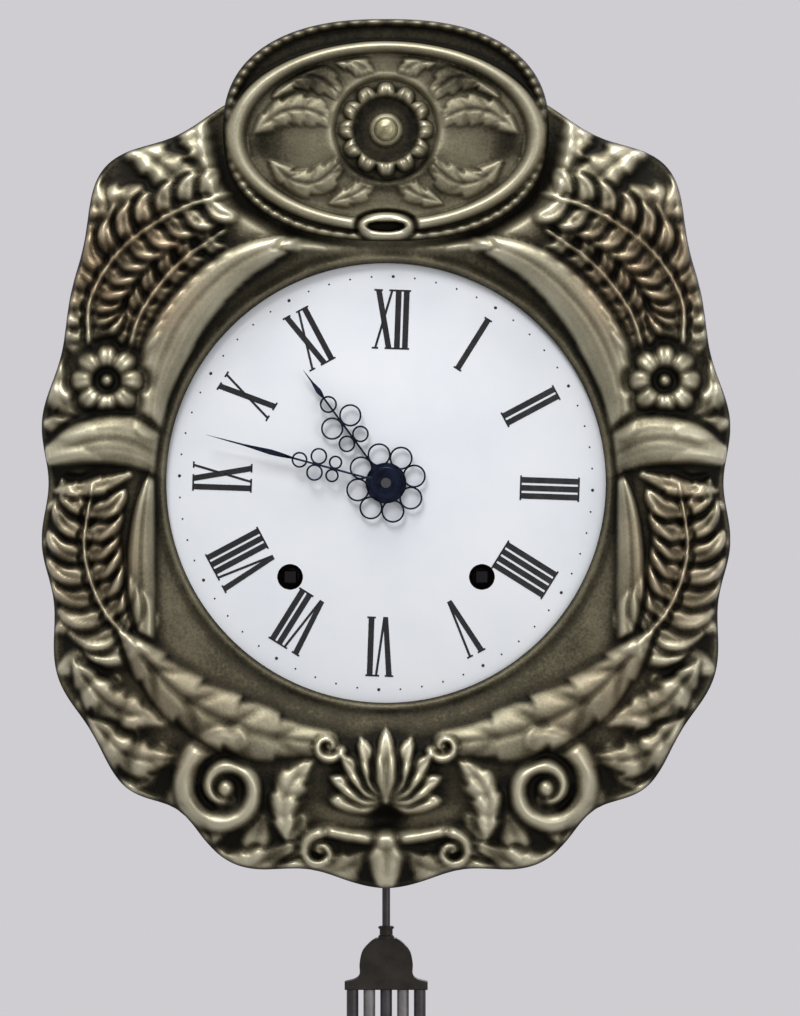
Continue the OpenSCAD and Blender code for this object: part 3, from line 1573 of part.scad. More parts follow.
module rating_nut() {
    color(brass) placed() translate([0, pend_y, bob_z - bob_r - face_gap - nut_h]) difference() {
        union() {
            cylinder(r = nut_r, h = nut_h - 1);
            cylinder(r = nut_r - 2, h = nut_h);
        }
        translate([0, 0, -eps]) cylinder(r = tail_rod_r + press_gap, h = nut_h + 2 * eps);
    }
}

embossed_surround();
crest_medallion();
surround_fixings();
dial_plate();
dial_clips();
false_plate();
front_pillars();
frame_screws();
hour_hand();
minute_hand();
hand_nut();
top_plate();
bottom_plate();
corner_posts();
front_bars();
rear_bars();
pivot_bushes();
back_plate();
left_door();
right_door();
left_door_knob();
right_door_knob();
door_hinge_pins();
hanger_strap();
wall_feet();
bell();
bell_stand();
bell_nut();
hammer_head();
hammer_arbor();
going_great_wheel();
going_drum();
going_click();
going_click_spring();
centre_arbor();
third_arbor();
escape_arbor();
pallet_arbor();
crutch();
cannon_pinion();
minute_wheel();
minute_wheel_stud();
hour_wheel();
strike_great_wheel();
strike_drum();
strike_click();
strike_click_spring();
pin_wheel();
warning_wheel();
fly();
strike_rack();
rack_guides();
suspension_cock();
suspension_pin();
pendulum_leader();
pendulum_crown();
grid_rods();
pendulum_bob();
rating_nut();
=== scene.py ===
import json
import math
from functools import partial
import bmesh
import bpy
import numpy as np
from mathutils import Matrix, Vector
from mathutils.geometry import delaunay_2d_cdt


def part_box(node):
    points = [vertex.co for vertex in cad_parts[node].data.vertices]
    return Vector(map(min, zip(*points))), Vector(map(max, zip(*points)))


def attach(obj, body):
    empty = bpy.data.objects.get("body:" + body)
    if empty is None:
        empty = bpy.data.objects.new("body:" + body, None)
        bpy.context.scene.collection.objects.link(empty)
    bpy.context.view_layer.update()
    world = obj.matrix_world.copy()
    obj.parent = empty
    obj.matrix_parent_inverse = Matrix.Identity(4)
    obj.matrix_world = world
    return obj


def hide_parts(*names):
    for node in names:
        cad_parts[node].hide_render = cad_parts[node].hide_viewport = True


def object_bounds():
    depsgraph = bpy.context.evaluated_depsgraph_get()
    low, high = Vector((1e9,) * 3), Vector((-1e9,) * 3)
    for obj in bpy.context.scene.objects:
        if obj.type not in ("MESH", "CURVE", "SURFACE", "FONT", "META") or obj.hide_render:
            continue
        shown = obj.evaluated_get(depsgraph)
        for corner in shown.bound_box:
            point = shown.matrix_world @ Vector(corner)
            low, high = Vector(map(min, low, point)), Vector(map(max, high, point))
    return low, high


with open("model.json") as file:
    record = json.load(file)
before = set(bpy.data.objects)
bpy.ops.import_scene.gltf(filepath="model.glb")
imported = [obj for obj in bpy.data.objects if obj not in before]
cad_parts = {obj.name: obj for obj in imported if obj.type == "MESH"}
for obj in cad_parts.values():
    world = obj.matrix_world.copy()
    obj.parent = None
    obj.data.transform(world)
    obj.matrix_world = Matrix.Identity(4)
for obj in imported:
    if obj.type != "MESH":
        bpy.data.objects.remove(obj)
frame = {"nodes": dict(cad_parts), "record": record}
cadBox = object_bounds()
nodes = frame["nodes"]
mm = 0.001
twoPi = 2 * math.pi

dialLow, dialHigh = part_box("dial_plate")
dialZ = (dialLow.z + dialHigh.z) / 2  # height of the dial's centre
plateY = dialHigh.y  # front of the sheet-iron plate that carries dial and surround


def hexColor(text):
    channels = [int(text[i:i + 2], 16) / 255 for i in (1, 3, 5)]
    return tuple(c / 12.92 if c <= 0.04045 else ((c + 0.055) / 1.055) ** 2.4 for c in channels) + (1.0,)


# A link gives a socket, or a node for its first output
def addLinks(node, links):
    for key, source in links.items():
        node.id_data.links.new(getattr(source, "outputs", [source])[0], node.inputs[key])


def addNode(tree, kind, values=None, links=None, **settings):
    node = tree.nodes.new(kind)
    for name, value in settings.items():
        setattr(node, name, value)
    for key, value in (values or {}).items():
        node.inputs[key].default_value = value
    addLinks(node, links or {})
    return node


def newMaterial(name, **surface):
    material = bpy.data.materials.new(name)
    material.use_nodes = True
    add = partial(addNode, material.node_tree)
    shader = material.node_tree.nodes["Principled BSDF"]
    for key, value in surface.items():
        shader.inputs[key].default_value = value
    return material, add, shader, add("ShaderNodeTexCoord").outputs["Object"]


def setStops(ramp, stops):
    bar = ramp.color_ramp
    while len(bar.elements) < len(stops):
        bar.elements.new(0.5)
    for element, (place, color) in zip(bar.elements, stops):
        element.position = place
        element.color = hexColor(color)


# Stamped brass, long tarnished: dark umber in the hollows, rubbed grey-gold on what stands proud; the proud
# value also carries painted shade and painted highlights laid on single forms
agedBrass = {
    "stops": [(0.14, "#1A170F"), (0.34, "#413D2E"), (0.50, "#706B57"), (0.66, "#9C9780"), (0.9, "#CAC6AD")],
    "warmth": "#C39A7C",  # brown cast of the sides' foliage
    "blotch": (22.0, 0.30),  # the patina's patches: size in mm, and how far they show
    "grain": (1.4, 0.16),  # the stamping grain
    "matting": (1.9, 0.07),  # the punched dots in the hollows
    "tarnish": 0.24,  # how far the whole is dulled
}


def makeAgedBrass():
    material, add, shader, place = newMaterial("agedStampedBrass", Metallic=0.78)
    proud = add("ShaderNodeAttribute", attribute_name="proud").outputs["Fac"]
    warm = add("ShaderNodeAttribute", attribute_name="warm").outputs["Fac"]
    blotchSize, blotchShow = agedBrass["blotch"]
    grainSize, grainShow = agedBrass["grain"]
    dotSize, dotShow = agedBrass["matting"]
    blotch = add("ShaderNodeTexNoise", {"Scale": 1 / (blotchSize * mm), "Detail": 5.0, "Roughness": 0.62},
                 {"Vector": place})
    grain = add("ShaderNodeTexNoise", {"Scale": 1 / (grainSize * mm), "Detail": 3.0}, {"Vector": place})
    punch = add("ShaderNodeTexVoronoi", {"Scale": 1 / (dotSize * mm)}, {"Vector": place})
    wear = add("ShaderNodeMath", {1: blotchShow}, {0: blotch, 2: proud}, operation="MULTIPLY_ADD")
    level = add("ShaderNodeMath", {1: grainShow}, {0: grain, 2: wear}, operation="MULTIPLY_ADD")
    hollow = add("ShaderNodeMapRange", {"From Min": 0.5, "From Max": 0.36}, {"Value": proud})
    pit = add("ShaderNodeMath", None, {0: punch, 1: hollow}, operation="MULTIPLY")
    dusty = add("ShaderNodeMath", {1: dotShow}, {0: pit, 2: level}, operation="MULTIPLY_ADD")
    shade = add("ShaderNodeMath", {1: agedBrass["tarnish"]}, {0: dusty}, operation="SUBTRACT")
    ramp = add("ShaderNodeValToRGB", None, {"Fac": shade})
    setStops(ramp, agedBrass["stops"])
    tone = add("ShaderNodeMath", None, {0: warm, 1: blotch}, operation="MULTIPLY")
    tint = add("ShaderNodeMix", {7: hexColor(agedBrass["warmth"])}, {0: tone, 6: ramp}, data_type="RGBA",
               blend_type="MULTIPLY")
    rough = add("ShaderNodeMapRange", {"From Min": 0.25, "From Max": 0.85, "To Min": 0.68, "To Max": 0.48},
                {"Value": shade})
    skin = add("ShaderNodeBump", {"Strength": 0.25, "Distance": 0.4 * mm}, {"Height": grain})
    bump = add("ShaderNodeBump", {"Strength": 0.3, "Distance": 0.4 * mm}, {"Height": pit, "Normal": skin})
    addLinks(shader, {"Base Color": tint.outputs[2], "Roughness": rough, "Normal": bump})
    return material


# Fired enamel on copper: a hard white glass with a faint blue cast and a soft gloss
def makeEnamel():
    material, add, shader, place = newMaterial("firedWhiteEnamel", Roughness=0.16, IOR=1.52)
    cloud = add("ShaderNodeTexNoise", {"Scale": 1 / (45 * mm), "Detail": 4.0}, {"Vector": place})
    ramp = add("ShaderNodeValToRGB", None, {"Fac": cloud})
    setStops(ramp, [(0.3, "#E9EEF5"), (0.7, "#F2F5FA")])
    peel = add("ShaderNodeTexNoise", {"Scale": 1 / (7 * mm), "Detail": 2.0}, {"Vector": place})
    bump = add("ShaderNodeBump", {"Strength": 0.06, "Distance": 0.3 * mm}, {"Height": peel})
    addLinks(shader, {"Base Color": ramp, "Normal": bump})
    return material


# A plain worked metal or paint: two tones in patches, with fine scratches or grain over them; sizes in mm
def makeWorked(name, dark, light, metallic, rough, patch, grain, depth):
    material, add, shader, place = newMaterial(name, Metallic=metallic)
    cloud = add("ShaderNodeTexNoise", {"Scale": 1 / (patch * mm), "Detail": 6.0, "Roughness": 0.6},
                {"Vector": place})
    ramp = add("ShaderNodeValToRGB", None, {"Fac": cloud})
    setStops(ramp, [(0.32, dark), (0.68, light)])
    fine = add("ShaderNodeTexNoise", {"Scale": 1 / (grain * mm), "Detail": 3.0}, {"Vector": place})
    dull = add("ShaderNodeMapRange", {"From Min": 0.3, "From Max": 0.7, "To Min": rough - 0.08,
                                      "To Max": rough + 0.1}, {"Value": cloud})
    bump = add("ShaderNodeBump", {"Strength": depth, "Distance": 0.3 * mm}, {"Height": fine})
    addLinks(shader, {"Base Color": ramp, "Roughness": dull, "Normal": bump})
    return material


brassSkin = makeAgedBrass()
enamelSkin = makeEnamel()
# Vitreous black, drawn thin on the white before the last firing
numeralSkin = makeWorked("firedBlackEnamel", "#0B0B0D", "#1B1B20", 0.0, 0.24, 6.0, 0.8, 0.05)
# Spring steel let down to blue: near black, with a violet-blue flash
bluedSkin = makeWorked("bluedSteel", "#0F1220", "#222A40", 0.85, 0.3, 5.0, 0.5, 0.05)
# Turned and wiped brass: warm yellow with a dull film
turnedBrass = ("#8A6C35", "#C7A35C", 1.0, 0.30, 14.0, 0.6, 0.08)
wheelSkin = makeWorked("turnedBrass", *turnedBrass)
# Cast bell metal: browner than brass, with a thin tarnish
bellSkin = makeWorked("castBellMetal", "#5E4C2C", "#9A8250", 1.0, 0.34, 18.0, 0.9, 0.12)
# Forged and oiled iron: grey-black scale with brown in it
ironSkin = makeWorked("forgedIron", "#1C1916", "#3A352F", 0.6, 0.55, 16.0, 1.6, 0.3)
# Filed steel: grey with fine draw marks
steelSkin = makeWorked("filedSteel", "#5C5C5E", "#8E8F92", 1.0, 0.34, 10.0, 0.5, 0.12)
# Brass rubbed pale by hands and cloths
rubbedSkin = makeWorked("rubbedBrass", "#8A8468", "#B8B290", 0.8, 0.42, 6.0, 0.8, 0.1)
# Brass in old oil, nearly black
oiledSkin = makeWorked("oiledBrass", "#1B150B", "#3A2E18", 0.7, 0.5, 7.0, 0.8, 0.12)
# Drawn steel rod gone dull and dark
darkRodSkin = makeWorked("dullSteelRod", "#3A3839", "#565355", 0.9, 0.44, 12.0, 0.6, 0.1)
# The zinc rods between them, a paler grey
paleRodSkin = makeWorked("greyZincRod", "#6F6D6E", "#908D8E", 0.7, 0.5, 12.0, 0.6, 0.1)


# Steel lies this close to an arbor's axis: radius in mm and tone, black with oil on the winding squares
arborSteel = {
    **dict.fromkeys(("going_drum", "strike_drum"), (5.3, "#29282A")),
    "centre_arbor": (2.8, "#59595B"),
    **dict.fromkeys(("third_arbor", "escape_arbor", "pin_wheel", "warning_wheel", "fly"), (2.5, "#6E6E70")),
}


# Turned brass pinned to a steel arbor
def makeArborSkin(node, reach, steel):
    material = makeWorked("turnedBrassOnSteel", *turnedBrass)
    tree = material.node_tree
    add = partial(addNode, tree)
    color = tree.nodes["Principled BSDF"].inputs["Base Color"]
    low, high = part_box(node)
    place = tree.nodes["Texture Coordinate"].outputs["Object"]
    off = add("ShaderNodeVectorMath", {1: (low + high) / 2}, {0: place}, operation="SUBTRACT")
    flat = add("ShaderNodeVectorMath", {1: (1, 0, 1)}, {0: off}, operation="MULTIPLY")
    far = add("ShaderNodeVectorMath", None, {0: flat}, operation="LENGTH").outputs["Value"]
    inside = add("ShaderNodeMath", {1: reach * mm}, {0: far}, operation="LESS_THAN")
    both = add("ShaderNodeMix", {7: hexColor(steel)}, {0: inside, 6: color.links[0].from_socket},
               data_type="RGBA")
    tree.links.new(both.outputs[2], color)
    return material


print("materials made")

slotSkins = {"aged_brass": brassSkin, "brass": wheelSkin, "bell_metal": bellSkin, "iron": ironSkin,
             "steel": steelSkin, "blued_steel": bluedSkin, "enamel": enamelSkin}
nodeSkins = {"surround_fixings": rubbedSkin, "pivot_bushes": oiledSkin, "pendulum_leader": darkRodSkin}
nodeSkins.update({node: makeArborSkin(node, *steel) for node, steel in arborSteel.items()})
for part in frame["record"]["subparts"]:
    skin = nodes[part["node"]].data.materials
    skin.clear()
    skin.append(nodeSkins.get(part["node"], slotSkins[part["material_slot"]]))


def newObject(name, data):
    thing = bpy.data.objects.new(name, data)
    bpy.context.scene.collection.objects.link(thing)
    return thing


def newPiece(name, verts, faces, skin, smooth=True):
    mesh = bpy.data.meshes.new(name)
    mesh.from_pydata([tuple(v) for v in verts], [], [tuple(f) for f in faces])
    mesh.validate()
    mesh.materials.append(skin)
    mesh.polygons.foreach_set("use_smooth", [smooth] * len(mesh.polygons))
    return newObject(name, mesh)


# Turns the faces outward and keeps hard edges hard where they meet at more than the given angle
def sharpen(piece, degrees):
    bm = bmesh.new()
    bm.from_mesh(piece.data)
    bmesh.ops.recalc_face_normals(bm, faces=bm.faces)
    for edge in bm.edges:
        edge.smooth = len(edge.link_faces) == 2 and edge.calc_face_angle(0) < math.radians(degrees)
    bm.to_mesh(piece.data)
    bm.free()
    return piece


def settle(piece, body, slot, *replaced):
    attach(piece, body)
    if replaced:
        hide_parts(*replaced)


# Places on the front are in mm from the dial's centre: x to the right, z up, h out of the carrying plate
def toFrame(x, h, z):
    return np.stack([x * mm, plateY - h * mm, dialZ + z * mm], axis=-1)


def gauss(d, spread):
    return np.exp(-(d / spread) ** 2)


def ease(v):
    v = np.clip(v, 0, 1)
    return v * v * (3 - 2 * v)


def circlePath(x, z, r, count=48):
    a = np.arange(count) * twoPi / count
    return np.stack([x + r * np.cos(a), z + r * np.sin(a)], axis=1)


# A smooth line through a few points
def smoothPath(points, count=28):
    p = np.array(points, float)
    p = np.vstack([2 * p[0] - p[1], p, 2 * p[-1] - p[-2]])
    t = np.linspace(0, len(p) - 3, count)
    k = np.minimum(t.astype(int), len(p) - 4)
    f = (t - k)[:, None]
    a, b, c, d = p[k], p[k + 1], p[k + 2], p[k + 3]
    square, cube = 2 * a - 5 * b + 4 * c - d, 3 * b - a - 3 * c + d
    return 0.5 * (2 * b + (c - a) * f + square * f ** 2 + cube * f ** 3)


# Share of the way along a line, and distance from it
def alongPath(x, z, path):
    start, step = path[:-1], np.diff(path, axis=0)
    length = np.hypot(step[:, 0], step[:, 1])
    fromX, fromZ = x[:, None] - start[:, 0], z[:, None] - start[:, 1]
    t = np.clip((fromX * step[:, 0] + fromZ * step[:, 1]) / length ** 2, 0, 1)
    far = np.hypot(fromX - t * step[:, 0], fromZ - t * step[:, 1])
    best = far.argmin(axis=1)
    row = np.arange(len(x))
    run = np.concatenate([[0], np.cumsum(length)])
    return (run[best] + t[row, best] * length[best]) / run[-1], far[row, best]


class Relief:
    def __init__(self, x, z):
        self.x, self.z = x.ravel(), z.ravel()
        self.h = np.zeros(self.x.size)
        self.wearAndShading = np.zeros(self.x.size)  # how far a form is rubbed bright or dulled; the sheets add painted shade and painted highlights to it

    def near(self, path, reach):
        low, high = path.min(axis=0) - reach, path.max(axis=0) + reach
        return np.flatnonzero((self.x > low[0]) & (self.x < high[0]) & (self.z > low[1]) & (self.z < high[1]))

    # Lays a form over what is there: u is 1 at its edge, where the older forms sink away
    def lay(self, at, height, u, keep=0.35, groove=0.2, wearAndShading=0.0):
        under = self.h[at]
        sunk = under * (1 - 0.8 * gauss(u - 1.02, groove))
        self.h[at] = np.where(u < 1, np.maximum(height + keep * sunk, sunk * 0.6), sunk)
        self.wearAndShading[at] = np.where(u < 1, wearAndShading, self.wearAndShading[at])

    # A leaf with a folded middle, lobed sides and a vein in each lobe
    def leaf(self, points, half, rise, lobes=0, fold=0.3, stalk=0.35, cut=0.28, wearAndShading=0.0):
        path = smoothPath(points)
        at = self.near(path, half * 1.6)
        s, d = alongPath(self.x[at], self.z[at], path)
        width = half * (stalk + (1 - stalk) * ease(s / 0.35)) * np.clip(1 - s ** 3.2, 0.02, 1) ** 0.6
        lobe = (s * max(lobes, 1)) % 1
        if lobes:
            width = width * (1 - cut * lobe ** 2.2)
        u = d / np.maximum(width, 0.6)
        crown = np.clip(1 - u ** 2.6, 0, 1) ** 0.55
        vein = 1 - fold * gauss(u, 0.15)
        if lobes:
            vein = vein * (1 - 0.22 * gauss((s * lobes + 0.55 * u + 0.5) % 1 - 0.5, 0.16))
        elif half > 7:
            vein = vein * (1 - 0.07 * gauss(u - 0.36, 0.07) - 0.07 * gauss(u - 0.66, 0.07))
        self.lay(at, rise * crown * vein * (0.6 + 0.4 * ease(s * 1.6)), u, wearAndShading=wearAndShading)

    # A rounded moulding that follows a line, with a sunk line on each side of its crown
    def scroll(self, path, start, end, rise, groove=0.25):
        at = self.near(path, max(start, end) * 1.6)
        s, d = alongPath(self.x[at], self.z[at], path)
        u = d / (start + (end - start) * s)
        crown = np.clip(1 - u ** 2, 0, 1) ** 0.5
        self.lay(at, rise * crown * (1 - groove * gauss(u - 0.55, 0.13)), u, 0.2)

    # A scroll that winds in to an eye
    def volute(self, x, z, radius, turns, first, hand, half, rise):
        t = np.linspace(0, 1, 90)
        r = radius * (1 - 0.78 * t ** 0.9)
        a = math.radians(first) + hand * twoPi * turns * t
        self.scroll(np.stack([x + r * np.cos(a), z + r * np.sin(a)], axis=1), half, half * 0.5, rise)
        self.button(x, z, radius * 0.2, rise * 0.9)

    def button(self, x, z, radius, rise):
        u = np.hypot(self.x - x, self.z - z) / radius
        at = np.flatnonzero(u < 1.6)
        self.lay(at, rise * np.clip(1 - u[at] ** 2, 0, 1) ** 0.5, u[at], 0.2)

    # Petals round a sunk eye
    def flower(self, x, z, radius, petals, rise, eye=0.34):
        d, a = np.hypot(self.x - x, self.z - z) / radius, np.arctan2(self.z - z, self.x - x)
        at = np.flatnonzero(d < 1.5)
        d, a = d[at], a[at]
        wave = np.abs(np.cos(petals / 2 * a))
        edge = 0.78 + 0.22 * wave ** 0.6
        u = np.clip((d - eye) / (edge - eye), 0, 1)
        petal = np.clip(np.sin(math.pi * u ** 0.8), 0, 1) ** 0.6 * (0.4 + 0.6 * wave ** 0.7)
        self.lay(at, rise * petal * (1 - 0.2 * gauss(1 - wave, 0.08)), d / edge, 0.0)
        self.button(x, z, radius * eye * 0.55, rise * 0.6)

    # Leaflets in pairs along a stem, the tip's pairs over the root's
    def frond(self, points, count, length, half, rise, spread, shrink, wearAndShading, stem=1.7):
        line = smoothPath(points, 60)
        for k in range(count):
            i = int((k + 0.4) / count * 56)
            base, way = line[i], line[i + 2] - line[i]
            lean = math.atan2(way[1], way[0])
            reach = length * (1 - shrink * k / count)
            for side in (-1, 1):
                a0, a1 = lean + side * math.radians(spread + 14), lean + side * math.radians(spread - 18)
                mid = base + 0.5 * reach * np.array([math.cos(a0), math.sin(a0)])
                tip = mid + 0.5 * reach * np.array([math.cos(a1), math.sin(a1)])
                width = half * (1 - 0.4 * shrink * k / count)
                self.leaf([base, mid, tip], width, rise, 0, 0.4, 0.55, wearAndShading=wearAndShading)
        self.scroll(line, stem, stem * 0.6, rise * 0.9, 0)


# Evens a grid of heights out; its columns run round
def soften(grid, middle, reach):
    pad = np.pad(grid, ((1, 1), (0, 0)), mode="edge")
    grid = (pad[:-2] + middle * pad[1:-1] + pad[2:]) / (middle + 2)
    return (np.roll(grid, reach, axis=1) + middle * grid + np.roll(grid, -reach, axis=1)) / (middle + 2)


# Quads between rows of points that run round
def bands(first, rows, columns):
    i, j = (place.ravel() for place in np.meshgrid(np.arange(rows - 1), np.arange(columns), indexing="ij"))
    near, far, k = first + i * columns, first + (i + 1) * columns, (j + 1) % columns
    return np.stack([near + j, near + k, far + k, far + j], axis=1)


# Closes an embossed face with a plainer back one sheet behind it
def embossedSheet(name, x, z, height, warm, wearAndShading):
    step = surroundShape["backStep"]
    rows, columns = height.shape
    height = soften(height, 2, 1)
    low = height.copy()
    for shift in range(-step, step + 1):
        low = np.minimum(low, np.roll(height, shift, axis=1))
    deep = low.copy()
    for shift in range(1, step + 1):
        deep[:-shift] = np.minimum(deep[:-shift], low[shift:])
        deep[shift:] = np.minimum(deep[shift:], low[:-shift])
    backRow = np.unique(np.append(np.arange(0, rows, step), rows - 1))
    backCol = np.arange(0, columns, step)
    pick = np.ix_(backRow, backCol)
    front = toFrame(x, height, z).reshape(-1, 3)
    back = toFrame(x[pick], deep[pick] - surroundShape["sheet"], z[pick]).reshape(-1, 3)
    first, wide = rows * columns, len(backCol)
    faces = bands(0, rows, columns).tolist() + bands(first, len(backRow), wide)[:, [0, 3, 2, 1]].tolist()
    for row, backStart, turn in ((0, first, 1), (rows - 1, first + (len(backRow) - 1) * wide, -1)):
        for c in range(wide):
            fan = [row * columns + (c * step + n) % columns for n in range(step + 1)]
            faces.append((fan + [backStart + (c + 1) % wide, backStart + c])[::-turn])
    piece = newPiece(name, np.vstack([front, back]), faces, brassSkin)
    soft = height
    for n in range(surroundShape["evening"]):
        soft = soften(soft, 1, 2)
    # the proud value also takes in painted shade and painted highlights, added to it with the wear values
    proud = np.clip(0.5 + (height - soft) / surroundShape["proudRange"] + wearAndShading, 0, 1)
    for label, shown, behind in (("proud", proud, 0.42), ("warm", warm, 0.3)):
        values = np.append(shown.ravel(), np.full(len(back), behind)).astype(np.float32)
        piece.data.attributes.new(label, "FLOAT", "POINT").data.foreach_set("value", values)
    return piece


surroundShape = {
    "opening": 110.0,  # radius over the dial
    "halfWidth": 171.0,
    "drop": 201.0,
    "squareness": 2.5,
    "lobes": [(43, 8, 11), (62, 8, -5), (122, 10, 3), (147, 6, -8), (167, 7, -4)],  # from top, spread, height
    "scallops": 18,
    "scallopHeight": 2.0,
    "lip": 5.0,
    "edge": 4.0,
    "flat": 6.0,  # under the crest
    "swell": 12.0,
    "bezel": (3.6, 2.4),  # bead round the dial: height, half width
    "hem": 1.4,
    "recess": (9.0, -168.0, 6.5),  # hollow above the drop: depth, z, spread
    "sheet": 1.0,
    "rings": 96,
    "columns": 880,
    "backStep": 4,  # the back takes every fourth point
    "evening": 14,  # rounds that even the face out; what stands above that is proud
    "proudRange": 7.0,
    "warmth": 0.15,
    "warmSpots": [(128, 108, 1.0, 22, 26, 0.85), (146, -36, 0.6, 14, 20, 0.6),
                  (108, -112, 1.0, 20, 25, 0.35)],  # x, z, squash, core, fade, depth
    "darkSpots": [(80, 124, 26, 0.12), (136, 62, 30, 0.07)],  # x, z, spread, depth
}
crestShape = {
    "halfWidth": 81.5,
    "halfHeight": 55.5,
    "middle": 176.5,
    "squareness": 2.4,
    "inset": 2.0,
    "seat": 0.4,
    "hole": 0.05,  # share of the oval that the boss covers
    "floor": 2.5,  # height of what is sunk
    "rose": 24.0,  # radius of the rosette's petals
    "petals": 12,
    "petalRise": 7.5,
    "cushion": (4.5, 3.5),  # height of the field at the rim, and its further rise to the middle
    "rim": (75.0, 44.5),  # half width and half height of the smooth rim's crown
    "rimDrop": -3.5,  # the rim's middle lies below the oval's
    "rimRise": 12.5,
    "beads": 66,  # round the outer edge
    "beadRise": 7.5,
    "ring": (11.5, 4.2, -48.5),  # small ring at the foot: half width, half height, place
    "rings": 100,
    "columns": 560,
    "warmth": 0.12,
    "darkSpots": [(62, -9, 0.7, 7), (37, 27, 0.6, 7)],  # painted shadow beside the leaves on the field: x, z, squash, spread
}


def crestShare(x, z, inset=0.0):
    p = crestShape["squareness"]
    return (np.abs(x) / (crestShape["halfWidth"] - inset)) ** p \
        + (np.abs(z - crestShape["middle"]) / (crestShape["halfHeight"] - inset)) ** p


def surroundEdge(angle):
    s = surroundShape
    body = ((np.abs(np.cos(angle)) / s["halfWidth"]) ** s["squareness"]
            + (np.abs(np.sin(angle)) / s["drop"]) ** s["squareness"]) ** (-1 / s["squareness"])
    top = np.degrees(np.arccos(np.clip(np.sin(angle), -1, 1)))
    body = body + sum(h * gauss(top - a, w) for a, w, h in s["lobes"])
    body = body + s["scallopHeight"] * np.cos(np.radians(s["scallops"] * top))
    near = crestShape["middle"] * np.sin(angle)
    inset = crestShape["inset"]
    meets = (near > 0) & (crestShare(near * np.cos(angle), near * np.sin(angle), inset) < 1)
    far = np.full_like(near, crestShape["middle"] + 2 * crestShape["halfHeight"])
    for n in range(30):
        mid = (near + far) / 2
        inside = crestShare(mid * np.cos(angle), mid * np.sin(angle), inset) < 1
        near, far = np.where(inside, mid, near), np.where(inside, far, mid)
    return np.where(meets, np.maximum(body, near), body)


# One side's ornament; the other side mirrors it
def layOrnament(relief):
    leaf, frond, volute = relief.leaf, relief.frond, relief.volute
    # a leaf in each scallop of the edge
    for top in range(60, 180, 20):
        for lean, half in ((-6, 7), (6, 7), (0, 8)):
            a = math.radians(90 - top - lean)
            way = np.array([math.cos(a), math.sin(a)])
            far = surroundEdge(np.array([a]))[0]
            leaf([way * (far - 26), way * (far - 13), way * (far - 1.5)], half, 6.5, 0, 0.35, 0.5)
    # shoulder leaves beside the crest
    leaf([(84, 146), (95, 168), (94, 192)], 12, 9.0, 5, wearAndShading=-0.1)
    leaf([(106, 120), (132, 128), (158, 122)], 11, 8.5, 5, wearAndShading=-0.06)
    leaf([(98, 132), (126, 140), (157, 137)], 12, 9.0, 5, wearAndShading=-0.06)
    leaf([(92, 140), (112, 158), (132, 172)], 13, 9.5, 5, wearAndShading=-0.08)
    leaf([(140, 138), (147, 148), (144, 160)], 6, 7.5, 3)
    # dark garland on the upper side
    frond([(128, 66), (121, 86), (104, 108), (80, 126)], 7, 17, 5.0, 7.0, 46, 0.2, -0.07)
    frond([(148, 70), (147, 92), (132, 116), (106, 134), (74, 146)], 11, 24, 6.2, 8.5, 50, 0.25, -0.07)
    # smooth leaf that hugs the dial
    leaf([(118, 28), (114, 54), (100, 83), (75, 108), (43, 122)], 12, 9.5, 0, 0.16, 0.6, wearAndShading=0.15)
    # flower, and the smooth leaf across the side
    leaf([(152, 34), (163, 44), (164, 62)], 8, 7.5, 3)
    relief.flower(139, 51, 19, 8, 9.0)
    frond([(122, -84), (141, -62), (150, -34), (146, -2)], 8, 29, 6.6, 8.5, 50, 0.25, -0.03)
    leaf([(119, -80), (122, -50), (121, -20), (117, 6)], 7.5, 8.0, 0, 0.2, 0.6)
    leaf([(112, 13), (130, 21), (150, 20), (172, 12)], 13.5, 9.5, 0, 0.14, 0.75, wearAndShading=0.03)
    leaf([(128, 4), (144, -2), (166, -4)], 6, 8.0, 3)
    # corner leaves round the low scroll
    leaf([(112, -118), (136, -112), (156, -90)], 12, 8.0, 5)
    leaf([(106, -138), (128, -136), (148, -118)], 11, 8.0, 4)
    leaf([(92, -178), (116, -170), (136, -148)], 12, 8.0, 5)
    leaf([(48, -182), (72, -192), (104, -184)], 10, 7.5, 5)
    volute(80, -152, 25, 1.5, 100, -1, 7.0, 9.0)
    leaf([(38, -138), (50, -156), (50, -178)], 9.5, 8.0, 4)
    # broad smooth leaf below the dial
    leaf([(30, -130), (66, -124), (102, -106), (132, -74)], 16, 9.5, 5, 0.2, 0.45, 0.18)
    volute(29, -131, 7.5, 1.1, 200, 1, 3.0, 9.0)
    # palmette, the scrolls under it and the drop
    for k in (4, 3, 2, 1, 0):
        a = math.radians(90 - 23 * k)
        way = np.array([math.cos(a), math.sin(a)])
        tip = way * (34 - 1.6 * k) + (0, -157)
        leaf([(0, -159), way * 16 + (0, -158), tip], 6.8, 9.0, 0, 0.3, 0.25)
    leaf([(6, -184), (26, -194), (54, -192)], 9, 7.5, 4)
    relief.scroll(smoothPath([(0, -178), (16, -176), (32, -174), (42, -180)]), 4.0, 3.0, 8.0)
    volute(33, -184, 9.5, 1.2, 90, -1, 3.4, 8.5)
    leaf([(0, -178), (0, -188), (0, -203)], 10, 8.5, 0, 0.3, 0.6)
    # leaves under the crest
    leaf([(16, 119), (34, 121), (56, 117)], 5.0, 5.0, 3)


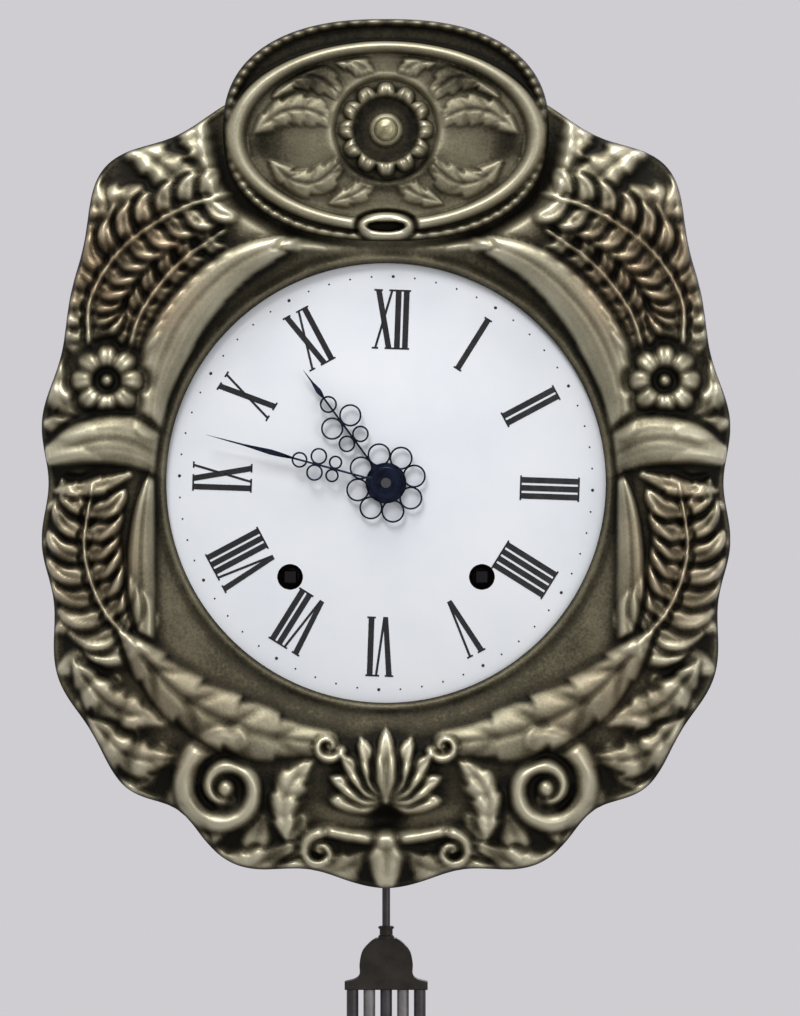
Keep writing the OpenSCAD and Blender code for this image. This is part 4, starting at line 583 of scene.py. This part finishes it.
def makeSurround():
    s = surroundShape
    t, angle = np.meshgrid(np.linspace(0, 1, s["rings"] + 1),
                           math.pi / 2 + np.arange(s["columns"]) * twoPi / s["columns"], indexing="ij")
    edge = surroundEdge(angle)
    r = s["opening"] + (edge - s["opening"]) * t
    x, z = r * np.cos(angle), r * np.sin(angle)
    low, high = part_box("embossed_surround")
    x = np.clip(x, low.x / mm + 0.02, high.x / mm - 0.02)
    side = np.abs(x)
    relief = Relief(side, z)
    layOrnament(relief)
    form = relief.h.reshape(t.shape)
    away = ease((crestShare(x, z) - 1.02) / 0.35)
    fromDial, fromEdge = r - s["opening"], edge - r
    raised = form * ease((fromDial - 4) / 2.5) * ease(fromEdge / 2.5) ** 0.5 * away
    share = np.clip((fromDial - 4) / (edge - s["opening"] - 4), 0, 1)
    mound = np.clip(np.sin(math.pi * share ** 0.8), 0, 1) ** 0.7
    base = s["lip"] * (1 - t) + s["edge"] * t
    height = base + away * s["swell"] * mound + (1 - away) * (s["flat"] - base) * np.minimum(1, mound)
    rise, half = s["bezel"]
    bezel = rise * np.clip(1 - ((fromDial - half) / half) ** 2, 0, 1) ** 0.5
    hem = s["hem"] * np.clip(1 - ((fromEdge - s["hem"]) / s["hem"]) ** 2, 0, 1) ** 0.5
    depth, recessZ, spread = s["recess"]
    recess = depth * gauss(np.hypot(x / 1.7, z - recessZ), spread)
    height = height + raised + bezel + hem - recess * ease(fromEdge / 8)
    height = np.minimum(height, (plateY - low.y) / mm - 0.1)
    warm = s["warmth"] + sum(depth * (1 - ease((np.hypot(side - a, (z - b) * squash) - core) / fade))
                             for a, b, squash, core, fade, depth in s["warmSpots"])
    plain = np.clip(1 - form / 3, 0, 1)
    # painted shade in a ring at the dial's edge; a little lighter beside the crest
    wearAndShading = relief.wearAndShading.reshape(t.shape) * away - 0.1 * gauss(fromDial - 4, 5) + 0.06 * (1 - away)
    # plain sheet near the dial darker, more towards the bottom
    wearAndShading = wearAndShading - plain * away * (0.1 + 0.1 * ease((-60 - z) / 50)) * gauss(fromDial - 12, 12)
    # darker patches at the listed spots
    wearAndShading = wearAndShading - sum(depth * gauss(np.hypot(side - a, z - b), wide) for a, b, wide, depth in s["darkSpots"])
    return embossedSheet("embossedSurround", x, z, height, warm, wearAndShading)


settle(makeSurround(), "frame", "aged_brass", "embossed_surround")
print("surround made")


def makeCrest():
    c = crestShape
    t, angle = np.meshgrid(np.linspace(c["hole"], 1, c["rings"] + 1),
                           np.arange(c["columns"]) * twoPi / c["columns"], indexing="ij")
    bend = 2 / c["squareness"]
    x = c["halfWidth"] * t * np.sign(np.cos(angle)) * np.abs(np.cos(angle)) ** bend
    up = c["halfHeight"] * t * np.sign(np.sin(angle)) * np.abs(np.sin(angle)) ** bend
    side, d = np.abs(x), np.hypot(x, up)
    rimWide, rimTall = c["rim"]
    q = np.hypot(x / rimWide, (up - c["rimDrop"]) / rimTall)  # 1 at the rim's crown
    floor, rose = c["floor"], c["rose"]
    relief = Relief(side, up)
    # sprays to each side of the rosette, on a cushioned field
    relief.leaf([(24, 2), (38, 9), (52, 8), (66, -2)], 9, 4.0, 5)
    relief.leaf([(20, 14), (33, 25), (46, 25), (56, 16)], 8, 4.0, 4)
    relief.leaf([(20, -14), (33, -26), (46, -26), (58, -16)], 8, 4.0, 4)
    relief.leaf([(5, 24), (14, 32), (28, 36)], 6, 3.5, 3)
    relief.leaf([(5, -24), (14, -32), (28, -37)], 6, 3.5, 3)
    raised = relief.h.reshape(t.shape) * ease((d - rose - 4) / 2) * ease((0.92 - q) / 0.06)
    field = c["cushion"][0] + c["cushion"][1] * np.clip(1 - q ** 4, 0, 1)
    rim = c["rimRise"] * np.clip(1 - ((q - 1) / 0.075) ** 2, 0, 1) ** 0.5
    bead = c["beadRise"] * np.clip(1 - ((t - 0.962) / 0.034) ** 2, 0, 1) ** 0.5
    bead = bead * (0.55 + 0.45 * np.abs(np.cos(c["beads"] / 2 * angle)) ** 0.6)
    height = np.maximum(np.maximum(np.where(q < 1, field + raised, 2.2), rim), bead)
    petals = Relief(x, up)
    petals.flower(0, 0, rose, c["petals"], c["petalRise"], 0.67)
    height = np.where(d < rose + 4, floor + 5 * ease((d - rose - 0.5) / 3), height)
    height = np.maximum(height, np.where(d < rose + 1, floor + petals.h.reshape(t.shape), 0))
    ringWide, ringTall, foot = c["ring"]
    ring = Relief(side, up)
    ring.h = height.ravel().copy()
    a = np.linspace(0, twoPi, 73)
    ring.scroll(np.stack([ringWide * np.cos(a), ringTall * np.sin(a) + foot], axis=1), 3.5, 3.5, 9.0, 0.15)
    eye = np.hypot(x / 9.5, (up - foot) / 2.4) < 1
    height = np.where(eye, floor, ring.h.reshape(t.shape))
    height = np.where(t > 0.997, 0, height) + 1
    seat = surroundShape["flat"] + c["seat"]
    height = np.minimum(height + seat, (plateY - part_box("crest_medallion")[0].y) / mm)
    # painted shadow of the leaves at two spots on the field
    dull = sum(gauss(np.hypot((side - a) * squash, up - b), wide) for a, b, squash, wide in c["darkSpots"])
    # the crest's lower side, where the painted shade and highlight change
    low = ease((-up - 6) / 14)
    # lighter band inside the rim, painted leaf shadows on the field, and a painted highlight on the rim's
    # lower part
    wearAndShading = 0.14 * gauss(q - 0.9, 0.04) - 0.36 * dull * (q < 0.92) + 0.05 * gauss(q - 1, 0.06) * (up < 20)
    # painted shade on the outer band beyond the rim, heaviest at the top and least at the bottom; the eye of
    # the foot's ring darker
    wearAndShading = wearAndShading - (0.12 + 0.16 * ease((up - 8) / 20) - 0.24 * low) * ease((q - 1.05) / 0.04) - 0.25 * eye
    # lighter boss, and painted shadow in the sunk ring round it
    wearAndShading = wearAndShading + 0.12 * (d < 8) - 0.3 * gauss(d - 12.5, 3.2)
    # painted highlight on the petals' outer edge except below, and a painted cast shadow under the rosette
    wearAndShading = wearAndShading + 0.18 * gauss(d - rose - 1, 3) * (1 - low) - 0.3 * gauss(d - rose - 4, 3.5) * low
    return embossedSheet("crestMedallion", x, up + c["middle"], height, np.full_like(x, c["warmth"]), wearAndShading)


settle(makeCrest(), "frame", "aged_brass", "crest_medallion")
print("crest made")


dialShape = {
    "radius": 116.0,
    "thick": 2.0,
    "sag": 6.0,
    "centreHole": 8.0,
    "keyHole": 6.5,
    "keyAt": (48.0, -47.0),
    "turn": 2.0,  # the numerals stand a little clockwise, degrees
    "numeralIn": 67.0,
    "numeralOut": 97.0,
    "inkThick": 0.12,
    "rimRound": (0.8, 1.2),  # drop and width of the rounded rim
    "rings": 40,
    "spokes": 180,
}


def dialFace(r):
    sag, radius = dialShape["sag"], dialShape["radius"]
    ball = (radius ** 2 + sag ** 2) / (2 * sag)
    return np.sqrt(ball ** 2 - r ** 2) - ball + sag


def makeDial():
    d = dialShape
    keyX, keyZ = d["keyAt"]

    def fromKey(x, z):
        return min(math.hypot(x - side * keyX, z - keyZ) for side in (-1, 1))

    points, edges = [], []
    for x, z, r, count in ((0, 0, d["radius"], 240), (0, 0, d["centreHole"], 64),
                           (keyX, keyZ, d["keyHole"], 56), (-keyX, keyZ, d["keyHole"], 56)):
        edges += [(len(points) + k, len(points) + (k + 1) % count) for k in range(count)]
        points += circlePath(x, z, r, count).tolist()
    for ring in range(1, d["rings"]):
        r = d["centreHole"] + (d["radius"] - d["centreHole"]) * ring / d["rings"]
        for k in range(d["spokes"]):
            a = twoPi * (k + 0.5 * (ring % 2)) / d["spokes"]
            x, z = r * math.cos(a), r * math.sin(a)
            if fromKey(x, z) > d["keyHole"] + 0.8:
                points.append((x, z))
    cut = delaunay_2d_cdt([Vector(p) for p in points], edges, [], 1, 1e-4)
    p = np.array([tuple(v) for v in cut[0]])
    keep = []
    for f in cut[2]:
        x, z = p[list(f)].mean(axis=0)
        if fromKey(x, z) > d["keyHole"] * 0.99 and math.hypot(x, z) > d["centreHole"] * 0.99:
            keep.append(list(f))
    r = np.hypot(p[:, 0], p[:, 1])
    drop, wide = d["rimRound"]
    rounded = drop * np.clip(1 - (d["radius"] - r) / wide, 0, 1) ** 2
    front = toFrame(p[:, 0], dialFace(r) + d["thick"] - rounded, p[:, 1])
    back = toFrame(p[:, 0], dialFace(r), p[:, 1])
    count = len(p)
    faces = keep + [[v + count for v in f[::-1]] for f in keep]
    sides = dict.fromkeys((a, b) for f in keep for a, b in zip(f, f[1:] + f[:1]))
    faces += [[b, a, a + count, b + count] for a, b in sides if (b, a) not in sides]
    return sharpen(newPiece("enamelDial", np.vstack([front, back]), faces, enamelSkin), 50)


settle(makeDial(), "frame", "enamel", "dial_plate")

numeralShape = {
    "thick": 2.9,  # stroke widths across, mm
    "thin": 1.2,
    "serif": 0.9,
    "serifOver": 0.7,
    "gap": 1.1,
    "vWidth": 8.6,
    "vFoot": ((-1.4, 1.1), (-0.2, 1.0)),  # where the strokes of a V end, beside its middle
    "xWidth": 9.0,
}


# A numeral's strokes as slanted bars: both ends of foot and head in mm, and shares of the height
def numeralStrokes(text):
    n = numeralShape
    cap = n["serif"] / (dialShape["numeralOut"] - dialShape["numeralIn"])
    strokes, x = [], 0.0
    for letter in text:
        if letter == "I":
            w = n["thick"]
            strokes.append((x, x + w, x, x + w, 0, 1))
            feet = [(x + w / 2, w, 0), (x + w / 2, w, 1)]
        elif letter == "V":
            w = n["vWidth"]
            (a, b), (c, e) = n["vFoot"]
            strokes.append((x + w / 2 + a, x + w / 2 + b, x, x + n["thick"], 0, 1))
            strokes.append((x + w / 2 + c, x + w / 2 + e, x + w - n["thin"], x + w, 0, 1))
            feet = [(x + n["thick"] / 2, n["thick"], 1), (x + w - n["thin"] / 2, n["thin"] + 0.6, 1)]
        else:
            w = n["xWidth"]
            strokes.append((x + w - n["thick"], x + w, x, x + n["thick"], 0, 1))
            strokes.append((x, x + n["thin"], x + w - n["thin"], x + w, 0, 1))
            feet = [(x + n["thick"] / 2, n["thick"], 1), (x + w - n["thick"] / 2, n["thick"], 0),
                    (x + n["thin"] / 2, n["thin"] + 0.6, 0), (x + w - n["thin"] / 2, n["thin"] + 0.6, 1)]
        for middle, wide, level in feet:
            half = wide / 2 + n["serifOver"]
            v0 = 0 if level == 0 else 1 - cap
            strokes.append((middle - half, middle + half, middle - half, middle + half, v0, v0 + cap))
        x += w + n["gap"]
    shift = (x - n["gap"]) / 2
    return [(a - shift, b - shift, c - shift, e - shift, v0, v1) for a, b, c, e, v0, v1 in strokes]


# Lays a bar of ink on the dome: top face, sunk under face and sides
def inkBar(verts, faces, corners, turn, n=7):
    a, b, c, e, v0, v1 = corners
    d = dialShape
    share = np.linspace(0, 1, n)
    left, right = a + (c - a) * share, b + (e - b) * share
    up = d["numeralIn"] + (d["numeralOut"] - d["numeralIn"]) * (v0 + (v1 - v0) * share)
    first = len(verts)
    for lift in (d["inkThick"], -0.05):
        for across in (left, right):
            x = across * math.cos(turn) + up * math.sin(turn)
            z = up * math.cos(turn) - across * math.sin(turn)
            verts.extend(toFrame(x, dialFace(np.hypot(x, z)) + d["thick"] + lift, z))
    for i in range(n - 1):
        tl, tr, bl, br = first + i, first + n + i, first + 2 * n + i, first + 3 * n + i
        faces += [(tl, tr, tr + 1, tl + 1), (bl, bl + 1, br + 1, br), (tl, tl + 1, bl + 1, bl),
                  (tr, br, br + 1, tr + 1)]
    for i, turned in ((0, 1), (n - 1, -1)):
        faces.append((first + i, first + 2 * n + i, first + 3 * n + i, first + n + i)[::turned])


def makeNumerals():
    verts, faces = [], []
    for hour, text in enumerate("XII I II III IIII V VI VII VIII IX X XI".split()):
        turn = math.radians(hour * 30 + dialShape["turn"])
        for stroke in numeralStrokes(text):
            inkBar(verts, faces, stroke, turn)
    return newPiece("hourNumerals", verts, faces, numeralSkin, smooth=False)


settle(makeNumerals(), "frame", "enamel")


# Grows a piece from a small node tree: build is told how to add a node and the named inputs
def grownPiece(name, build, values, skin):
    tree = bpy.data.node_groups.new(name, "GeometryNodeTree")
    tree.interface.new_socket(name="Geometry", in_out="OUTPUT", socket_type="NodeSocketGeometry")
    keys = {}
    for key, value in values.items():
        kind = "NodeSocketInt" if isinstance(value, int) else "NodeSocketFloat"
        keys[key] = tree.interface.new_socket(name=key, in_out="INPUT", socket_type=kind).identifier
    add = partial(addNode, tree)
    shape = build(add, add("NodeGroupInput").outputs)
    whole = add("GeometryNodeRealizeInstances", None, {0: shape})
    dressed = add("GeometryNodeSetMaterial", {"Material": skin}, {"Geometry": whole})
    add("NodeGroupOutput", None, {0: dressed})
    piece = newObject(name, bpy.data.meshes.new(name))
    grower = piece.modifiers.new(name, "NODES")
    grower.node_group = tree
    for key, value in values.items():
        grower[keys[key]] = value
    grown = bpy.data.meshes.new_from_object(piece.evaluated_get(bpy.context.evaluated_depsgraph_get()))
    piece.modifiers.remove(grower)
    piece.data = grown
    grown.polygons.foreach_set("use_smooth", [True] * len(grown.polygons))
    return piece


minuteDots = {
    "ring": 103.5,
    "small": 0.5,  # dot radius, mm
    "large": 0.85,
}


# Dots of black enamel round the dial's edge
def dotRing(add, given):
    ring = add("GeometryNodeMeshCircle", None, {"Vertices": given["Count"], "Radius": given["Ring"]})
    dot = add("GeometryNodeMeshUVSphere", {"Segments": 14, "Rings": 7}, {"Radius": given["Dot"]})
    dots = add("GeometryNodeInstanceOnPoints", {"Scale": (1, 1, 0.25)}, {"Points": ring, "Instance": dot})
    turn = add("ShaderNodeCombineXYZ", {"X": math.pi / 2}, {"Y": given["Turn"]})
    at = add("ShaderNodeCombineXYZ", None, {"Y": given["Out"], "Z": given["Up"]})
    return add("GeometryNodeTransform", None, {"Geometry": dots, "Rotation": turn, "Translation": at})


for name, count, size in (("minuteDots", 60, minuteDots["small"]), ("hourDots", 12, minuteDots["large"])):
    face = plateY - (dialFace(minuteDots["ring"]) + dialShape["thick"]) * mm
    settle(grownPiece(name, dotRing, {"Count": count, "Ring": minuteDots["ring"] * mm, "Dot": size * mm,
                                      "Turn": math.radians(dialShape["turn"]), "Out": float(face),
                                      "Up": float(dialZ)}, numeralSkin), "frame", "enamel")
print("dial made")


# A bar of bevelled section along a line in the dial's plane, turned clockwise about the dial's centre
def bevelBar(verts, faces, path, half, layer, turn, closed, bevel):
    path = np.array(path, float)
    half = np.zeros(len(path)) + half
    step = np.roll(path, -1, 0) - np.roll(path, 1, 0) if closed else np.gradient(path, axis=0)
    side = np.stack([step[:, 1], -step[:, 0]], 1) / np.hypot(step[:, 0], step[:, 1])[:, None]
    low, high = layer
    flat = half - np.minimum(bevel, half * 0.6)
    first, n = len(verts), len(path)
    for across, lift in ((half, low + bevel), (flat, low), (-flat, low), (-half, low + bevel),
                         (-half, high - bevel), (-flat, high), (flat, high), (half, high - bevel)):
        x, z = (path + side * across[:, None]).T
        verts.extend(toFrame(x * math.cos(turn) + z * math.sin(turn), np.full(n, lift),
                             z * math.cos(turn) - x * math.sin(turn)))
    for i in range(8):
        a, b = first + i * n, first + (i + 1) % 8 * n
        faces += [(a + k, a + (k + 1) % n, b + (k + 1) % n, b + k) for k in range(n if closed else n - 1)]
    if not closed:
        faces += [tuple(first + i * n + k for i in range(8)) for k in (0, n - 1)]


# Pierced hands; rings give half distance apart, place along the hand and radius
hands = {
    "hourHand": {"node": "hour_hand", "body": "hour_work", "turn": 323.75, "length": 70.0,
                 "hub": (6.25, 10.2), "rings": [(4.2, 0.39, 4.2), (5.6, 0.54, 5.6), (0.0, 0.695, 4.3)],
                 "tip": 0.755, "loops": 8},
    "minuteHand": {"node": "minute_hand", "body": "hand_arbor", "turn": 285.0, "length": 93.0,
                   "hub": (4.55, 8.0), "rings": [(3.4, 0.29, 3.4), (4.2, 0.385, 4.2), (0.0, 0.48, 4.0)],
                   "tip": 0.52, "loops": 0},
    "wall": 0.9,
    "spine": 0.5,
    "tipHalf": 1.4,
    "tipShape": [(0, 0.4), (0.12, 0.78), (0.25, 1), (0.4, 0.68), (0.55, 0.37), (0.8, 0.2), (1, 0.05)],
    "bevel": 0.25,
    "loop": (14.5, 5.8),  # rosette round the hub: where its loops stand, and their radius
}


def makeHand(name):
    h = hands[name]
    low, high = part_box(h["node"])
    layer = ((plateY - high.y) / mm, (plateY - low.y) / mm)
    turn = math.radians(h["turn"])
    verts, faces = [], []
    bore, hub = h["hub"]
    bevelBar(verts, faces, circlePath(0, 0, (bore + hub) / 2, 72), (hub - bore) / 2, layer, turn, True, 0.4)
    spine, wall, bevel, start = hands["spine"], hands["wall"], hands["bevel"], h["tip"]
    bevelBar(verts, faces, [(0, hub - 0.4), (0, hub + 3), (0, h["length"] * (start + 0.04))],
             np.array([2.2, 1.0, 1.0]) * spine, layer, turn, False, bevel)
    spots = [(side * apart, place * h["length"], r) for apart, place, r in h["rings"]
             for side in ((-1, 1) if apart else (1,))]
    out, r = hands["loop"]
    angles = [(k + 0.5) * twoPi / h["loops"] for k in range(h["loops"])]
    spots += [(out * math.sin(a), out * math.cos(a), r) for a in angles]
    for x, z, r in spots:
        bevelBar(verts, faces, circlePath(x, z, r - wall / 2), wall / 2, layer, turn, True, bevel)
    way = np.linspace(0, 1, 25)
    wide = hands["tipHalf"] * np.interp(way, *zip(*hands["tipShape"]))
    path = [(0, h["length"] * (start + (1 - start) * share)) for share in way]
    bevelBar(verts, faces, path, wide, layer, turn, False, bevel)
    settle(sharpen(newPiece(name, verts, faces, bluedSkin), 28), h["body"], "blued_steel", h["node"])


for name in ("hourHand", "minuteHand"):
    makeHand(name)
print("hands made")


# An outline of radius and way, in mm, turned about an upright or a fore-and-aft axis
def turned(verts, faces, outline, centre, upright, loop, count):
    first, n = len(verts), len(outline)
    for k in range(count):
        c, s = math.cos(twoPi * k / count), math.sin(twoPi * k / count)
        for r, way in outline:
            spot = (r * c, r * s, way) if upright else (r * c, way, r * s)
            verts.append([centre[i] + spot[i] * mm for i in range(3)])
    for k in range(count):
        a, b = first + k * n, first + (k + 1) % count * n
        faces += [(a + i, b + i, b + (i + 1) % n, a + (i + 1) % n) for i in range(n if loop else n - 1)]
    if not loop:
        faces += [tuple(first + k * n + i for k in range(count)) for i in (0, n - 1)]


bell = {
    "wall": 2.5,
    "bore": 3.02,
    "rings": [(0.09, 0.035, 0.5), (0.45, 0.03, 0.35), (0.52, 0.03, 0.35)],  # height share, spread, relief
}


def bellCurve(radius, height, rings):
    a = np.linspace(0, math.pi / 2, 40)
    r = np.concatenate([[radius, radius * 0.96], radius * (0.22 + 0.7 * np.cos(a) ** 0.8)])
    up = np.concatenate([[0, height * 0.1], height * (0.22 + 0.78 * np.sin(a))])
    way = np.linspace(0, 1, 120)
    run = np.concatenate([[0], np.cumsum(np.hypot(np.diff(r), np.diff(up)))])
    r, up = np.interp(way * run[-1], run, r), np.interp(way * run[-1], run, up)
    for share, spread, relief in rings:
        r = r + relief * gauss(up / height - share, spread) * (way > 0.02)
    return np.stack([r, up], axis=1)


def makeBell():
    low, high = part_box("bell")
    radius, height = (high.x - low.x) / 2 / mm, (high.z - low.z) / mm
    outer = bellCurve(radius, height, bell["rings"])
    inner = bellCurve(radius - bell["wall"], height - bell["wall"], [])
    outline = np.vstack([outer, [(bell["bore"], height), (bell["bore"], height - bell["wall"])], inner[::-1]])
    verts, faces = [], []
    turned(verts, faces, outline, ((low.x + high.x) / 2, (low.y + high.y) / 2, low.z), True, True, 128)
    return sharpen(newPiece("castBell", verts, faces, bellSkin), 40)


settle(makeBell(), "frame", "bell_metal", "bell")
print("bell made")

pendulum = {
    "crownTop": -230.0,  # from the dial's centre
    "crownDrop": 22.0,
    "crownSide": [(0.38, 0.09), (0.57, 0.3), (0.64, 0.58), (0.64, 0.82), (0.74, 0.93), (1, 1)],  # shares
    "bar": 4.0,
    "neck": (4.0, 6.0),  # radius, height
    "lowBar": -760.0,
    "rodStep": 8.5,
    "rodRadius": 3.0,
    "rodTop": -256.0,
    "tailEnd": -998.0,
    "rim": 1.5,
    "bobRings": [(0.86, 1.2, -0.5), (0.965, 1.6, 0.9)],  # share of the radius, spread, relief
}


# A plate cut to an outline, with bevelled edges; the outline runs counter-clockwise seen from the front
def cutPlate(verts, faces, outline, layer, bevel=0.6):
    p = np.array(outline, float)
    step = np.roll(p, -1, 0) - np.roll(p, 1, 0)
    inner = p + np.stack([-step[:, 1], step[:, 0]], 1) / np.hypot(step[:, 0], step[:, 1])[:, None] * bevel
    low, high = layer
    first, n = len(verts), len(p)
    for loop, lift in ((inner, low), (p, low + bevel), (p, high - bevel), (inner, high)):
        verts.extend(toFrame(loop[:, 0], np.full(n, lift), loop[:, 1]))
    for i in range(3):
        a = first + i * n
        faces += [(a + k, a + (k + 1) % n, a + n + (k + 1) % n, a + n + k) for k in range(n)]
    faces += [tuple(range(first, first + n)), tuple(range(first + 3 * n, first + 4 * n))]


def makePendulum():
    p = pendulum
    low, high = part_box("pendulum_crown")
    layer = ((plateY - high.y) / mm, (plateY - low.y) / mm)
    axis = (0, (low.y + high.y) / 2, dialZ)
    half = high.x / mm
    shares = smoothPath([(5 / half, 0)] + p["crownSide"], 49)
    side = np.minimum(shares, 1) * (half, -p["crownDrop"]) + (0, p["crownTop"])
    foot = p["crownTop"] - p["crownDrop"] - p["bar"]
    verts, faces = [], []
    cutPlate(verts, faces, np.vstack([side[::-1], side * (-1, 1), [(-half, foot), (half, foot)]]), layer)
    barFoot, barTop = p["lowBar"], p["lowBar"] + p["bar"]
    cutPlate(verts, faces, [(half, barFoot), (half, barTop), (-half, barTop), (-half, barFoot)], layer)
    r, tall = p["neck"]
    neckFoot, neckTop = p["crownTop"], p["crownTop"] + tall
    turned(verts, faces, [(r, neckFoot - 1), (r, neckFoot + 1), (r - 0.7, neckFoot + 1.6),
                          (r - 0.7, neckTop - 1.6), (r, neckTop - 1), (r, neckTop - 0.4), (r - 0.4, neckTop)],
           axis, True, False, 48)
    crown = sharpen(newPiece("pendulumCrown", verts, faces, ironSkin), 30)
    settle(crown, "pendulum", "iron", "pendulum_crown")
    r, top = p["rodRadius"], p["rodTop"]
    for name, places, skin, replaced in (("darkGridRods", (-2, 0, 2), darkRodSkin, ["grid_rods"]),
                                         ("paleGridRods", (-1, 1), paleRodSkin, [])):
        verts, faces = [], []
        for k in places:
            end = barTop if k else p["tailEnd"]
            turned(verts, faces, [(r - 0.5, end), (r, end + 0.5), (r, top)],
                   (k * p["rodStep"] * mm, axis[1], dialZ), True, False, 40)
        settle(sharpen(newPiece(name, verts, faces, skin), 30), "pendulum", "steel", *replaced)
    low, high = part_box("pendulum_bob")
    radius, thick = (high.x - low.x) / 2 / mm, (high.y - low.y) / mm
    r = np.linspace(0.2, radius - 0.6, 90)
    swell = p["rim"] + (thick / 2 - p["rim"]) * (1 - (r / radius) ** 2)
    for share, spread, relief in p["bobRings"]:
        swell = swell + relief * gauss(r - radius * share, spread)
    front = np.stack([r, -swell], axis=1)
    verts, faces = [], []
    turned(verts, faces, np.vstack([front, [(radius, -0.6), (radius, 0.6)], (front * (1, -1))[::-1]]),
           ((low.x + high.x) / 2, (low.y + high.y) / 2, (low.z + high.z) / 2), False, False, 160)
    bob = sharpen(newPiece("pendulumBob", verts, faces, wheelSkin), 40)
    settle(bob, "pendulum", "brass", "pendulum_bob")


makePendulum()
print("pendulum made")

studio = {
    "background": "#CFCDD1",
    "floorGap": 0.22,
    "floorSize": 6.0,
    "photoSize": (800, 1016),
    "mmPerPixel": 0.5,
    "dialPixel": (386, 483),  # where the dial's centre lies in the picture
    "distance": 2.4,
    "sensor": 36.0,
    "lights": {  # place from the dial's height, size, power
        "keyLight": ((-0.5, -1.5, 1.7), 0.9, 28),
        "fillLight": ((1.3, -1.8, 0.1), 1.4, 10),
        "topLight": ((0.1, -0.45, 1.6), 0.7, 17),
        "backLight": ((0.6, 1.8, 0.9), 1.4, 16),
    },
}


def makeStudio():
    s = studio
    scene = bpy.context.scene
    scene.view_settings.view_transform = "Standard"
    world = bpy.data.worlds.new("studio")
    scene.world = world
    world.use_nodes = True
    world.node_tree.nodes.clear()
    add = partial(addNode, world.node_tree)
    rays = add("ShaderNodeLightPath").outputs
    seen = add("ShaderNodeMath", None, {0: rays["Is Camera Ray"], 1: rays["Is Glossy Ray"]},
               operation="MAXIMUM")
    seen = add("ShaderNodeMath", None, {0: seen, 1: rays["Is Transmission Ray"]}, operation="MAXIMUM")
    light = add("ShaderNodeBackground", {"Color": hexColor("#F4F2F0"), "Strength": 0.32})
    shown = add("ShaderNodeBackground", {"Color": hexColor(s["background"]), "Strength": 1.0})
    mixed = add("ShaderNodeMixShader", None, {0: seen, 1: light, 2: shown})
    add("ShaderNodeOutputWorld", None, {"Surface": mixed})
    floorZ = cadBox[0].z - s["floorGap"]
    half = s["floorSize"] / 2
    skin, add, shader, place = newMaterial("paleFloor", Roughness=0.7)
    cloud = add("ShaderNodeTexNoise", {"Scale": 3.0, "Detail": 3.0}, {"Vector": place})
    ramp = add("ShaderNodeValToRGB", None, {"Fac": cloud})
    setStops(ramp, [(0.3, "#D2D0D3"), (0.7, "#D8D6D8")])
    addLinks(shader, {"Base Color": ramp})
    floor = newPiece("studioFloor", [(-half, -half, floorZ), (half, -half, floorZ), (half, half, floorZ),
                                     (-half, half, floorZ)], [(0, 1, 2, 3)], skin)
    aim = Vector((0, plateY, dialZ))
    for name, (place, size, power) in s["lights"].items():
        lamp = bpy.data.lights.new(name, "AREA")
        lamp.size = size
        lamp.energy = power
        holder = newObject(name, lamp)
        holder.location = Vector(place) + Vector((0, 0, dialZ))
        holder.rotation_euler = (aim - holder.location).to_track_quat("-Z", "Y").to_euler()
    wide, tall = s["photoSize"]
    step = s["mmPerPixel"] * mm
    camera = bpy.data.cameras.new("camera")
    camera.sensor_fit = "VERTICAL"
    camera.sensor_height = s["sensor"]
    camera.lens = s["sensor"] * s["distance"] / (tall * step)
    eye = newObject("camera", camera)
    eye.location = ((wide / 2 - s["dialPixel"][0]) * step, dialLow.y - s["distance"],
                    dialZ - (tall / 2 - s["dialPixel"][1]) * step)
    eye.rotation_euler = (math.pi / 2, 0, 0)
    scene.camera = eye


makeStudio()
print("studio made")
